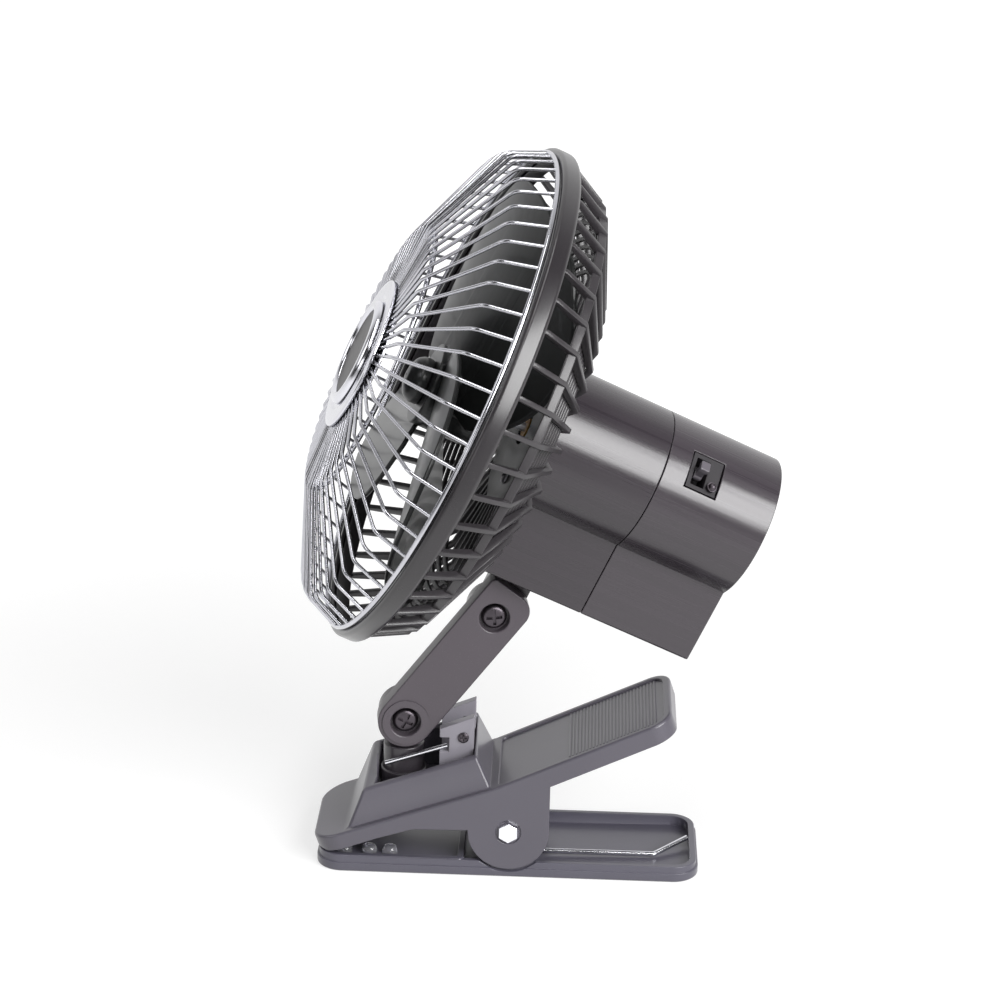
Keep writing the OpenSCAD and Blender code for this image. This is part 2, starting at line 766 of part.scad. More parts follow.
cage_rim_out = rim_r - rim_t - seat_gap;
cage_rim_in = cage_rim_out - 1.8;
rib_depth = 2.4;
cage_back = housing_start - face_gap;
plate_t = 2;
plate_r = 28;

rib_root = 0.45;
band_t = 1.3;
band_front = 2;
band_back = 0.9;

// Side outline of one cage rib: from inside the rim hoop back to the corner, then in to the plate
module rib_side() {
    polygon([
        [cage_rim_out - rib_root, -2.4], [cage_rim_out - rib_root, -4.4], [corner_r + 0.8, -corner_depth - 1],
        [cage_inner_r, -cage_back], [plate_r - 1, -cage_back + rib_root],
        [plate_r - 1, -cage_back + plate_t - rib_root], [cage_inner_r, -cage_back + plate_t + 0.4],
        [corner_r - 1.8, -corner_depth + 1], [cage_rim_in + rib_root, -2.4]
    ]);
}

// Flat hoop of a rectangular section
module flat_hoop(r_in, r_out, z_low, z_high) {
    rotate_extrude($fn = 96) polygon([[r_in, z_low], [r_out, z_low], [r_out, z_high], [r_in, z_high]]);
}

// Basket of ribs behind the blade, from the rim hoop to the plate on the housing, with a band at its corner
module rear_cage() {
    color("#3f3c40")
    on_head() difference() {
        union() {
            flat_hoop(cage_rim_in, cage_rim_out, -3.6, 1.4);
            flat_hoop(corner_r - 1, corner_r - 1 + band_t, -corner_depth - band_back, -corner_depth + band_front);
            for (i = [0 : rib_count - 1]) rotate([0, 0, (i + 0.5) * 360 / rib_count]) rotate([90, 0, 0])
                translate([0, 0, -rib_t / 2]) linear_extrude(rib_t) rib_side();
            translate([0, 0, -cage_back]) cylinder(r = plate_r, h = plate_t);
        }
        translate([0, 0, -cage_back - 1]) cylinder(r = bush_seat_r + 1, h = plate_t + 2);
        for (a = [0 : 120 : 240]) rotate([0, 0, a + 60]) translate([18, 0, -cage_back - 1])
            cylinder(r = 1.5, h = plate_t + 2);
        for (a = [0 : 120 : 240]) rotate([0, 0, a]) translate([motor_screw_ring, 0, -cage_back - 1])
            cylinder(r = 2.5, h = plate_t + 2);
    }
}

slat_count = 9;
slat_w = 1.1;
slat_t = 1;

// Fine rings that lie inside the ribs of the cage's sloped back
module cage_slats() {
    color("#3a373b")
    on_head() {
        rise = (cage_back - plate_t - 0.4 - corner_depth + 1) / (corner_r - 1.8 - cage_inner_r);
        for (i = [0 : slat_count - 1]) {
            r = cage_inner_r + 1 + i * (corner_r - 5 - cage_inner_r) / (slat_count - 1);
            z = -cage_back + plate_t + 0.4 + (r - cage_inner_r) * rise;
            rotate_extrude($fn = 96) polygon([
                [r, z + 0.1], [r + slat_w, z + 0.1 + slat_w * rise],
                [r + slat_w, z + 0.1 + slat_w * rise + slat_t], [r, z + 0.1 + slat_t]
            ]);
        }
    }
}

// Three screws that hold the cage's plate to the housing
module cage_screws() {
    color("#9a989e")
    on_head() for (a = [0 : 120 : 240]) rotate([0, 0, a + 60]) translate([18, 0, -cage_back + plate_t])
        cross_screw(2.6, 1.4, 1.45, plate_t);
}

badge_back_h = 30.4;
wire_end_r = badge_r - 2;
wire_end_h = badge_back_h + 0.1 + wire_r;
hoop_r = rim_r - rim_t - 0.9;
hoop_h = grille_seat + ring_r + 0.05;
inner_hoop_h = bend_in_h - wire_r - ring_r - 0.35;

// Round bar between two points of the (radius, height) plane
module bar(a, b, r) {
    d = b - a;
    translate([a[0], 0, a[1]]) rotate([0, atan2(d[0], d[1]), 0]) cylinder(r = r, h = norm(d), $fn = 24);
}

// The point that lies d along the way from a to b
function toward(a, b, d) = a + (b - a) / norm(b - a) * d;

knee_reach = 0.3;
draw_down = 0.03;

// One grille wire: three straight runs, each a little finer than the one before, that overlap at the bends
module grille_wire() {
    hoop = [hoop_r, hoop_h];
    out = [bend_out_r, bend_out_h];
    inn = [bend_in_r, bend_in_h];
    tip = [wire_end_r, wire_end_h];
    bar(toward(hoop, out, ring_r + 0.05), toward(out, hoop, -knee_reach), wire_r);
    bar(toward(out, inn, 0), toward(inn, out, -knee_reach), wire_r - draw_down);
    bar(toward(inn, tip, 0), tip, wire_r - 2 * draw_down);
}

// All the radial wires of the front grille
module grille_wires() {
    color("#d9d9de")
    on_head() for (i = [0 : wire_count - 1]) rotate([0, 0, i * 360 / wire_count]) grille_wire();
}

// Hoops that the grille wires are welded to: at the rim and at the inner bend
module grille_rings() {
    color("#d9d9de")
    on_head() {
        rotate_extrude($fn = 96) translate([hoop_r, hoop_h]) circle(r = ring_r, $fn = 24);
        rotate_extrude($fn = 96) translate([bend_in_r, inner_hoop_h]) circle(r = ring_r, $fn = 24);
    }
}

badge_plate_t = 1.2;
badge_face = wire_end_h + wire_r + 0.1 + badge_plate_t;

// Plate behind the wires' inner ends
module badge_back() {
    color("#c4c4ca")
    on_head() translate([0, 0, badge_back_h - 1]) cylinder(r = badge_r, h = 1);
}

// Bright front plate over the wires' inner ends
module badge_plate() {
    color("#e2e2e6")
    on_head() translate([0, 0, badge_face - badge_plate_t]) cylinder(r = badge_r, h = badge_plate_t);
}

bezel_r = 18.5;
bezel_in = 14.6;

// Raised chrome ring in the middle of the badge
module badge_bezel() {
    color("#f0f0f2")
    on_head() translate([0, 0, badge_face]) rotate_extrude($fn = 96) polygon([
        [bezel_in, 0], [bezel_r, 0], [bezel_r - 0.6, 1.4], [bezel_r - 1.4, 2], [bezel_in + 0.8, 2], [bezel_in, 1.4]
    ]);
}

// Plain dark disc inside the bezel
module badge_disc() {
    color("#2d2a2d")
    on_head() translate([0, 0, badge_face]) cylinder(r = bezel_in - 0.05, h = 1.1);
}

// ---------- fan blade ----------

blade_mid = 3;
blade_t = 1.6;
blade_camber = 120;
blade_lobe = 42;
hub_front = 9;
hub_back = -12;

// Outline of one blade seen along the fan axis
module blade_plan() {
    intersection() {
        circle(r = blade_r);
        union() {
            translate([blade_r - blade_lobe + 4, 0]) circle(r = blade_lobe);
            translate([0, -hub_r + 3]) square([blade_r - blade_lobe, 2 * hub_r - 6]);
        }
    }
}

// Three cambered blades on one hub, bored for the motor shaft
module fan_blade() {
    color("#3a3f3e")
    on_head() rotate([0, 0, blade_turn]) difference() {
        union() {
            translate([0, 0, hub_back]) cylinder(r = hub_r, h = hub_front - hub_back);
            for (i = [0 : blade_count - 1]) rotate([0, 0, i * 360 / blade_count]) intersection() {
                translate([0, 0, -30]) linear_extrude(60) blade_plan();
                translate([0, 0, blade_mid]) rotate([blade_pitch, 0, 0]) translate([0, 0, -blade_camber])
                    rotate([0, 90, 0]) difference() {
                        cylinder(r = blade_camber + blade_t / 2, h = blade_r + 5, $fn = 128);
                        translate([0, 0, -1]) cylinder(r = blade_camber - blade_t / 2, h = blade_r + 7, $fn = 128);
                    }
            }
        }
        translate([0, 0, hub_back - 1]) cylinder(r = shaft_r + 0.02, h = hub_front - hub_back + 2);
        translate([0, 0, hub_back - 1]) difference() {
            cylinder(r = hub_r - 1.8, h = 12);
            cylinder(r = 4.5, h = 14);
        }
    }
}

// Cap that holds the blade on the shaft
module spinner() {
    color("#2f2c30")
    on_head() translate([0, 0, hub_front + 0.05]) difference() {
        union() {
            cylinder(r = 8, h = 4);
            translate([0, 0, 4]) cylinder(r = 5.5, h = 3);
        }
        translate([0, 0, -1]) cylinder(r = shaft_r + 0.02, h = 5);
    }
}

// ---------- motor ----------

can_front = housing_start + housing_wall + 0.1;
can_back = can_front + motor_len;
can_wall = 1.2;
cap_t = 4;
bush_r = 3.6;

// Drawn steel can, closed in front
module motor_can() {
    color("#a5a6aa")
    on_head() difference() {
        translate([0, 0, -can_back]) cylinder(r = motor_r, h = motor_len);
        translate([0, 0, -can_back - 1]) cylinder(r = motor_r - can_wall, h = motor_len + 1 - can_wall);
        translate([0, 0, -can_front - 10]) cylinder(r = bush_r + thread_gap, h = 20);
        for (a = [0 : 120 : 240]) rotate([0, 0, a]) translate([motor_screw_ring, 0, -can_front - 5])
            cylinder(r = 1.27, h = 8);
    }
}

magnet_t = 3;

// Two arc magnets inside the can
module motor_magnets() {
    color("#3b3b3d")
    on_head() translate([0, 0, -can_back + 6]) linear_extrude(motor_len - 12) difference() {
        circle(r = motor_r - can_wall - 0.05);
        circle(r = motor_r - can_wall - magnet_t);
        translate([-4, -30]) square([8, 60]);
    }
}

// Plastic end cap with the brushes
module motor_end_cap() {
    color("#d8d6cf")
    on_head() difference() {
        translate([0, 0, -can_back - cap_t - 0.05]) cylinder(r = motor_r, h = cap_t);
        translate([0, 0, -can_back - cap_t - 1]) cylinder(r = bush_r + thread_gap, h = cap_t + 2);
    }
}

// Sintered bush in the can's front
module front_bush() {
    color("#b08d4f")
    on_head() translate([0, 0, -can_front - can_wall]) difference() {
        cylinder(r = bush_r, h = can_wall + 4);
        translate([0, 0, -1]) cylinder(r = shaft_r + 0.04, h = can_wall + 6);
    }
}

// Sintered bush in the end cap
module rear_bush() {
    color("#b08d4f")
    on_head() translate([0, 0, -can_back - cap_t - 0.05]) difference() {
        cylinder(r = bush_r, h = cap_t);
        translate([0, 0, -1]) cylinder(r = shaft_r + 0.04, h = cap_t + 2);
    }
}

// Shaft from the end cap to the spinner
module motor_shaft() {
    color("#c9c9ce")
    on_head() translate([0, 0, -can_back - cap_t]) cylinder(r = shaft_r, h = can_back + cap_t + hub_front + 3);
}

rotor_r = motor_r - can_wall - magnet_t - 0.6;

// Laminated armature with its windings as one drum with slots
module rotor() {
    color("#8a5a3a")
    on_head() translate([0, 0, -can_back + 9]) difference() {
        cylinder(r = rotor_r, h = motor_len - 17);
        translate([0, 0, -1]) cylinder(r = shaft_r + 0.02, h = motor_len);
        for (a = [0 : 60 : 300]) rotate([0, 0, a]) translate([rotor_r - 2.5, -0.8, -1]) cube([5, 1.6, motor_len]);
    }
}

// Copper commutator behind the armature
module commutator() {
    color("#b8733c")
    on_head() translate([0, 0, -can_back + 1]) difference() {
        cylinder(r = 4, h = 7);
        translate([0, 0, -1]) cylinder(r = shaft_r + 0.02, h = 9);
    }
}

cushion_w = 6;

// Two rubber rings that centre the motor in the housing
module motor_cushions() {
    color("#2a2a2c")
    on_head() for (z = [-can_front - cushion_w - 2, -can_back + 6]) translate([0, 0, z]) difference() {
        cylinder(r = housing_r - housing_wall - 0.1, h = cushion_w);
        translate([0, 0, -1]) cylinder(r = motor_r + 0.05, h = cushion_w + 2);
        translate([-keel_half, -housing_r, -1]) cube([2 * keel_half, housing_r - motor_r, cushion_w + 2]);
    }
}

// Three screws from the bulkhead into the can
module motor_screws() {
    color("#9a989e")
    on_head() for (a = [0 : 120 : 240]) rotate([0, 0, a]) translate([motor_screw_ring, 0, -housing_start])
        cross_screw(2.2, 1.4, 1.25, housing_wall + 0.1 + can_wall);
}

// ---------- battery and electrics ----------

cell_y = -keel_depth + housing_wall + lip_t + cell_r + seat_gap;
cell_front = housing_start + housing_wall + 0.9;

// Rechargeable cell in the battery box
module battery_cell() {
    color("#3d6fa8")
    on_head() translate([0, cell_y, -cell_front - cell_len]) {
        cylinder(r = cell_r, h = cell_len - 1);
        translate([0, 0, cell_len - 1]) cylinder(r = cell_r * 0.45, h = 1);
    }
}

// Contact plates at both ends of the cell
module battery_contacts() {
    color("#c9b16a")
    on_head() {
        translate([-6, cell_y - 6, -cell_front + 0.1]) cube([12, 12, 0.6]);
        translate([-6, cell_y - 6, -housing_end + housing_wall + 0.05]) cube([12, 12, 0.5]);
        translate([0, cell_y, -housing_end + housing_wall + 0.55])
            cylinder(r = 4, h = housing_end - housing_wall - 0.6 - cell_front - cell_len);
    }
}

board_high = 22;
board_long = 26;

// Charging and motor control board beside the cell
module control_board() {
    color("#2f6b3f")
    on_head() translate([-keel_half + 2 * housing_wall + 0.2, -keel_depth + housing_wall + 3, -housing_end + 8])
        cube([1.2, board_high, board_long]);
}

// Round charging socket behind the rear wall
module charge_socket() {
    color("#1f1e20")
    on_head() translate([0, socket_y, -housing_end]) difference() {
        union() {
            cylinder(r = socket_r - 0.1, h = housing_wall + 0.5);
            translate([0, 0, housing_wall + 0.05]) cylinder(r = 4.6, h = 9);
        }
        translate([0, 0, -1]) difference() {
            cylinder(r = 2.75, h = 10);
            cylinder(r = 1, h = 10);
        }
    }
}

switch_back = 84.5;
switch_angle = 38;
switch_throw = 12;
switch_w = 11;
switch_len = 12.6;
switch_depth = 9;
lever_x = -3.2;
lever_t = 3;

// Switch frame: Z points out of the housing, X runs back along it, Y runs round it
module at_switch() {
    rotate([0, 0, switch_angle]) translate([housing_r, 0, -switch_back]) rotate([0, 90, 0]) children();
}

// Switch case behind the window in the rear shell
module switch_body() {
    color("#242225")
    on_head() at_switch() difference() {
        translate([-switch_w / 2, -switch_len / 2, -switch_depth])
            cube([switch_w, switch_len, switch_depth - 0.8]);
        translate([lever_x - 0.8, -switch_len / 2 + 1.5, -switch_depth + 1]) cube([lever_t + 1.6, switch_len - 3, 10]);
    }
}

// Round collar and nut beside the lever
module switch_collar() {
    color("#2b2a2d")
    on_head() at_switch() {
        translate([3.1, -3.6, -0.8]) cylinder(r = 1.6, h = 1.6);
        translate([3.1, -3.6, 0.8]) sphere(r = 1.4);
    }
}

// Short lever with a pale square tip, rocking round the housing
module switch_lever() {
    color("#c8c8cc")
    on_head() at_switch() translate([lever_x, 0, -3.5]) rotate([-switch_throw, 0, 0]) {
        rotate([0, 90, 0]) cylinder(r = 1.6, h = lever_t);
        translate([0.3, -1.1, 0]) cube([lever_t - 0.6, 2.2, 5]);
        translate([-0.1, -1.7, 4.6]) cube([lever_t + 0.2, 3.4, 2]);
    }
}

lower_jaw();
upper_jaw();
jaw_pad();
tray_nubs();
hinge_bolt();
hinge_nut();
clip_spring();
swivel_base();
swivel_washer();
swivel_screw();
tie_bracket();
tie_screw();
tie_wire();
arm();
lower_pivot_screw();
lower_pivot_nut();
upper_pivot_screw();
upper_pivot_nut();
front_housing();
rear_housing();
rear_screws();
guard_rim();
rear_cage();
cage_slats();
cage_screws();
grille_wires();
grille_rings();
badge_plate();
badge_bezel();
badge_disc();
badge_back();
fan_blade();
spinner();
motor_shaft();
rotor();
commutator();
motor_can();
motor_magnets();
motor_end_cap();
front_bush();
rear_bush();
motor_cushions();
motor_screws();
battery_cell();
battery_contacts();
control_board();
charge_socket();
switch_body();
switch_collar();
switch_lever();
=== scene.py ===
import math

import bmesh
import bpy
from mathutils import Matrix, Vector
from mathutils.bvhtree import BVHTree


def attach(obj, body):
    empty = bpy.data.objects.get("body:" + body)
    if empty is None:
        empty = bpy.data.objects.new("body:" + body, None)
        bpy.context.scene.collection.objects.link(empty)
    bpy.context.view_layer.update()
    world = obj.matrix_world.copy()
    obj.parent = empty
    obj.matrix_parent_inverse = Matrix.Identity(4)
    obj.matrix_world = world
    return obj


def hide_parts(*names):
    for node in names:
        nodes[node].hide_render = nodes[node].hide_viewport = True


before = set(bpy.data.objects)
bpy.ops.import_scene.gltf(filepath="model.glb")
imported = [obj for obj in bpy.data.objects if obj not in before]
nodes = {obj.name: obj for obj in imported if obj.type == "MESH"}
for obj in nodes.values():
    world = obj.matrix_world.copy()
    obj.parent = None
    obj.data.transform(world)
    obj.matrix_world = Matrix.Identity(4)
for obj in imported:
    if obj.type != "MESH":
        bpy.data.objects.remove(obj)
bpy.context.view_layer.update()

# ---------- Studio ----------
# A pale floor on which the fan stands, a narrow soft box overhead, wide ones in front and on the near
# side, and the camera a little above the fan's near side.

CAMERA_PLACE = (0.8794, 0.018767, 0.433985)
CAMERA_RIGHT = Vector((-0.03524835, 0.9991594, 0.02092941))
CAMERA_UP = Vector((-0.32767377, -0.03133933, 0.94427101))
CAMERA_AHEAD = Vector((-0.94413318, -0.02642598, -0.32850299))
SENSOR_MM, LENS_MM = 36, 100.8
FLOOR_HALF, FLOOR_DROP = 7, 0.0001


def add(tree, kind, wires=None, **settings):
    """Adds a node, sets its settings, and wires or fills its inputs by name or number."""
    node = tree.nodes.new(kind)
    for key, value in settings.items():
        setattr(node, key, value)
    for key, value in (wires or {}).items():
        if isinstance(value, bpy.types.NodeSocket):
            tree.links.new(value, node.inputs[key])
        else:
            node.inputs[key].default_value = value
    return node


def new_material(name):
    """An empty node material, its Principled shader and its tree."""
    material = bpy.data.materials.new(name)
    material.use_nodes = True
    tree = material.node_tree
    tree.nodes.clear()
    surface = add(tree, "ShaderNodeBsdfPrincipled")
    out = add(tree, "ShaderNodeOutputMaterial")
    tree.links.new(surface.outputs[0], out.inputs[0])
    return material, tree, surface


def soft_box(name, place, aim, size, power):
    """A rectangular lamp at place that points at aim."""
    lamp = bpy.data.lights.new(name, "AREA")
    lamp.shape = "RECTANGLE"
    lamp.size, lamp.size_y = size
    lamp.energy = power
    obj = bpy.data.objects.new(name, lamp)
    obj.location = place
    obj.rotation_euler = (Vector(aim) - Vector(place)).to_track_quat("-Z", "Y").to_euler()
    bpy.context.scene.collection.objects.link(obj)


soft_box("box_overhead", place=(0.36, -0.05, 1.2), aim=(0, 0, 0.12), size=(0.22, 1.2), power=5.0)
soft_box("box_front", place=(0.35, -1.25, 0.85), aim=(0, -0.03, 0.14), size=(0.8, 0.8), power=4.0)
soft_box("box_near", place=(0.93, 0.84, 0.74), aim=(0, 0.06, 0.18), size=(1.1, 0.8), power=30.0)
soft_box("box_low", place=(1.35, -0.45, 0.30), aim=(0, 0, 0.10), size=(0.7, 0.5), power=2.0)

camera_data = bpy.data.cameras.new("camera")
camera_data.sensor_width = SENSOR_MM
camera_data.lens = LENS_MM
camera_data.clip_start = 0.05
camera_data.clip_end = 30
camera = bpy.data.objects.new("camera", camera_data)
camera.matrix_world = Matrix.Translation(CAMERA_PLACE) @ Matrix(
    (CAMERA_RIGHT, CAMERA_UP, -CAMERA_AHEAD)).transposed().to_4x4()
bpy.context.scene.collection.objects.link(camera)
bpy.context.scene.camera = camera
bpy.context.scene.view_settings.view_transform = "Standard"

# The camera sees a white world. Reflections see it white on the far side and almost black on the near
# side, and diffuse light gets a low even fill.
FILL_LIGHT = 0.12
world = bpy.data.worlds.new("studio")
bpy.context.scene.world = world
world.use_nodes = True
sky = world.node_tree
sky.nodes.clear()
rays = add(sky, "ShaderNodeLightPath")
seen = add(sky, "ShaderNodeMath", {0: rays.outputs["Is Camera Ray"], 1: rays.outputs["Is Transmission Ray"]},
           operation="MAXIMUM")
heading = add(sky, "ShaderNodeSeparateXYZ", {0: add(sky, "ShaderNodeTexCoord").outputs["Generated"]})
backing = add(sky, "ShaderNodeMapRange", {"Value": heading.outputs[0], "From Min": 0.05, "From Max": -0.75,
                                          "To Min": 0.03, "To Max": 1.0}, interpolation_type="SMOOTHSTEP")
mirrored = add(sky, "ShaderNodeMath", {0: rays.outputs["Is Glossy Ray"], 1: backing.outputs[0]},
               operation="MULTIPLY")
bright = add(sky, "ShaderNodeMath", {0: seen.outputs[0], 1: mirrored.outputs[0]}, operation="MAXIMUM")
plain = add(sky, "ShaderNodeMath", {0: 1.0, 1: rays.outputs["Is Glossy Ray"]}, operation="SUBTRACT")
fill = add(sky, "ShaderNodeMath", {0: plain.outputs[0], 1: FILL_LIGHT}, operation="MULTIPLY")
level = add(sky, "ShaderNodeMath", {0: bright.outputs[0], 1: fill.outputs[0]}, operation="MAXIMUM")
backdrop = add(sky, "ShaderNodeBackground", {"Color": (1, 1, 1, 1), "Strength": level.outputs[0]})
sky_out = add(sky, "ShaderNodeOutputWorld")
sky.links.new(backdrop.outputs[0], sky_out.inputs[0])

# The floor keeps its shadow but glows for the camera, less so close to the fan, and glows for reflections
# away from the camera.
floor_mesh = bpy.data.meshes.new("floor")
floor_mesh.from_pydata([(FLOOR_HALF * x, FLOOR_HALF * y, 0) for x, y in ((-1, -1), (1, -1), (1, 1), (-1, 1))], [],
                       [(0, 1, 2, 3)])
floor = bpy.data.objects.new("floor", floor_mesh)
bpy.context.scene.collection.objects.link(floor)
floor.location.z = -FLOOR_DROP
paper, tree, surface = new_material("pale_paper")
surface.inputs["Base Color"].default_value = (0.36, 0.36, 0.36, 1)
surface.inputs["Roughness"].default_value = 0.9
surface.inputs["Specular IOR Level"].default_value = 0.1
rays = add(tree, "ShaderNodeLightPath")
seen = add(tree, "ShaderNodeMath", {0: rays.outputs["Is Camera Ray"], 1: rays.outputs["Is Transmission Ray"]},
           operation="MAXIMUM")
place = add(tree, "ShaderNodeTexCoord").outputs["Object"]
away = add(tree, "ShaderNodeVectorMath", {0: place}, operation="LENGTH")
glow = add(tree, "ShaderNodeMapRange", {"Value": away.outputs["Value"], "From Min": 0.12, "From Max": 0.7,
                                        "To Min": 0.68, "To Max": 1.0}, interpolation_type="SMOOTHSTEP")
spot = add(tree, "ShaderNodeSeparateXYZ", {0: place})
shine = add(tree, "ShaderNodeMapRange", {"Value": spot.outputs[0], "From Min": 0.55, "From Max": 0.2,
                                         "To Min": 0.05, "To Max": 0.8}, interpolation_type="SMOOTHSTEP")
also = add(tree, "ShaderNodeMath", {0: rays.outputs["Is Glossy Ray"], 1: shine.outputs[0]}, operation="MULTIPLY")
lift = add(tree, "ShaderNodeMath", {0: seen.outputs[0], 1: glow.outputs[0], 2: also.outputs[0]},
           operation="MULTIPLY_ADD")
surface.inputs["Emission Color"].default_value = (1, 1, 1, 1)
tree.links.new(lift.outputs[0], surface.inputs["Emission Strength"])
floor_mesh.materials.append(paper)

# ---------- Lower jaw ----------
# The clip's tray, moulded in blue-grey plastic with a base slab, a wall set in above it, a raised
# front deck and two ears for the hinge bolt. Its edges are softly rounded by the mould.

DUST_COLOUR = (0.6, 0.6, 0.6, 1)


def finish_group():
    """A moulded surface: a slow change of shade and gloss, a fine grain for the bump, and specks of dust."""
    group = bpy.data.node_groups.new("moulded_finish", "ShaderNodeTree")
    face = group.interface
    face.new_socket("Vector", in_out="INPUT", socket_type="NodeSocketVector")
    face.new_socket("Colour", in_out="INPUT", socket_type="NodeSocketColor")
    for name in ("Shade Change", "Roughness", "Gloss Change", "Cloud Scale", "Grain Scale", "Dust"):
        face.new_socket(name, in_out="INPUT", socket_type="NodeSocketFloat")
    face.new_socket("Colour", in_out="OUTPUT", socket_type="NodeSocketColor")
    for name in ("Roughness", "Height"):
        face.new_socket(name, in_out="OUTPUT", socket_type="NodeSocketFloat")
    given = add(group, "NodeGroupInput").outputs
    cloud = add(group, "ShaderNodeTexNoise", {"Vector": given["Vector"], "Scale": given["Cloud Scale"],
                                              "Detail": 4.0, "Roughness": 0.55})
    speck = add(group, "ShaderNodeTexNoise", {"Vector": given["Vector"], "Scale": given["Grain Scale"],
                                              "Detail": 2.0})
    swing = add(group, "ShaderNodeMath", {0: cloud.outputs[0], 1: 0.5}, operation="SUBTRACT")
    change = add(group, "ShaderNodeMath", {0: swing.outputs[0], 1: given["Shade Change"], 2: 1.0},
                 operation="MULTIPLY_ADD")
    tinted = add(group, "ShaderNodeVectorMath", {0: given["Colour"], "Scale": change.outputs[0]}, operation="SCALE")
    dust_mask = add(group, "ShaderNodeMapRange", {"Value": speck.outputs[0], "From Min": 0.62, "From Max": 0.8,
                                                  "To Min": 0.0, "To Max": 1.0})
    dusty = add(group, "ShaderNodeMath", {0: dust_mask.outputs[0], 1: given["Dust"]}, operation="MULTIPLY")
    mixed = add(group, "ShaderNodeMix", {0: dusty.outputs[0], 6: tinted.outputs[0], 7: DUST_COLOUR},
                data_type="RGBA")
    worn = add(group, "ShaderNodeMath", {0: swing.outputs[0], 1: given["Gloss Change"], 2: given["Roughness"]},
               operation="MULTIPLY_ADD")
    out = add(group, "NodeGroupOutput")
    group.links.new(mixed.outputs[2], out.inputs["Colour"])
    group.links.new(worn.outputs[0], out.inputs["Roughness"])
    group.links.new(speck.outputs[0], out.inputs["Height"])
    return group


moulded_finish = finish_group()


def moulded(name, colour, roughness=0.3, change=0.25, gloss_change=0.12, clouds=45.0, grain=2600.0,
            bump=0.06, depth=0.00004, coat=0.0, coat_roughness=0.08, dust=0.0, metallic=0.0, stretch=None,
            turn=None, specular=0.5, clear=0.0, ior=1.5):
    """A material on the moulded finish. stretch and turn draw the pattern out along an axis of the piece,
    and clear lets light through."""
    material, tree, surface = new_material(name)
    place = add(tree, "ShaderNodeTexCoord").outputs["Object"]
    if turn is not None:
        place = add(tree, "ShaderNodeMapping", {"Vector": place, "Location": turn.to_translation(),
                                                "Rotation": turn.to_euler()}).outputs[0]
    if stretch is not None:
        place = add(tree, "ShaderNodeMapping", {"Vector": place, "Scale": stretch}).outputs[0]
    finish = add(tree, "ShaderNodeGroup", node_tree=moulded_finish)
    for key, value in (("Colour", colour), ("Shade Change", change), ("Roughness", roughness), ("Dust", dust),
                       ("Gloss Change", gloss_change), ("Cloud Scale", clouds), ("Grain Scale", grain)):
        finish.inputs[key].default_value = value
    tree.links.new(place, finish.inputs["Vector"])
    bumped = add(tree, "ShaderNodeBump", {"Strength": bump, "Distance": depth, "Height": finish.outputs["Height"]})
    tree.links.new(finish.outputs["Colour"], surface.inputs["Base Color"])
    tree.links.new(finish.outputs["Roughness"], surface.inputs["Roughness"])
    tree.links.new(bumped.outputs[0], surface.inputs["Normal"])
    surface.inputs["Metallic"].default_value = metallic
    surface.inputs["Coat Weight"].default_value = coat
    surface.inputs["Coat Roughness"].default_value = coat_roughness
    surface.inputs["Specular IOR Level"].default_value = specular
    surface.inputs["Transmission Weight"].default_value = clear
    surface.inputs["IOR"].default_value = ior
    return material


def shade(r, g, b):
    """A colour given in 0-255 screen values, as the shader's linear colour."""
    def linear(v):
        v = v / 255
        return v / 12.92 if v <= 0.04045 else ((v + 0.055) / 1.055) ** 2.4
    return (linear(r), linear(g), linear(b), 1.0)


def keep(piece, body, slot, *stands_for):
    """Says which body a piece rides on and hides the nodes it stands for. slot is not used."""
    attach(piece, body)
    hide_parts(*stands_for)


def solid(name, mesh, material):
    """A linked object for a finished mesh."""
    mesh.name = name
    mesh.materials.clear()
    mesh.materials.append(material)
    obj = bpy.data.objects.new(name, mesh)
    bpy.context.scene.collection.objects.link(obj)
    return obj


def smoothed(mesh, angle=38):
    """Smooth shading, with the edges that turn by more than angle left sharp."""
    for polygon in mesh.polygons:
        polygon.use_smooth = True
    mesh.set_sharp_from_angle(angle=math.radians(angle))


def plain_copy(obj):
    """The object's mesh with its modifiers worked into it."""
    graph = bpy.context.evaluated_depsgraph_get()
    graph.update()
    return bpy.data.meshes.new_from_object(obj.evaluated_get(graph), depsgraph=graph)


def patch_widths(bm, turn_from):
    """The mean width of the smooth patch that each face belongs to."""
    owner = {}
    width = {}
    for first in bm.faces:
        if first in owner:
            continue
        patch, waiting, around = [], [first], 0
        owner[first] = first
        while waiting:
            face = waiting.pop()
            patch.append(face)
            for edge in face.edges:
                if len(edge.link_faces) != 2 or math.degrees(edge.calc_face_angle(0)) >= turn_from:
                    around += edge.calc_length()
                    continue
                for other in edge.link_faces:
                    if other not in owner:
                        owner[other] = first
                        waiting.append(other)
        spread = 2 * sum(face.calc_area() for face in patch) / around if around else 1
        for face in patch:
            width[face] = spread
    return width


# The turn below which two faces count as one flat face.
FLAT = math.radians(0.6)


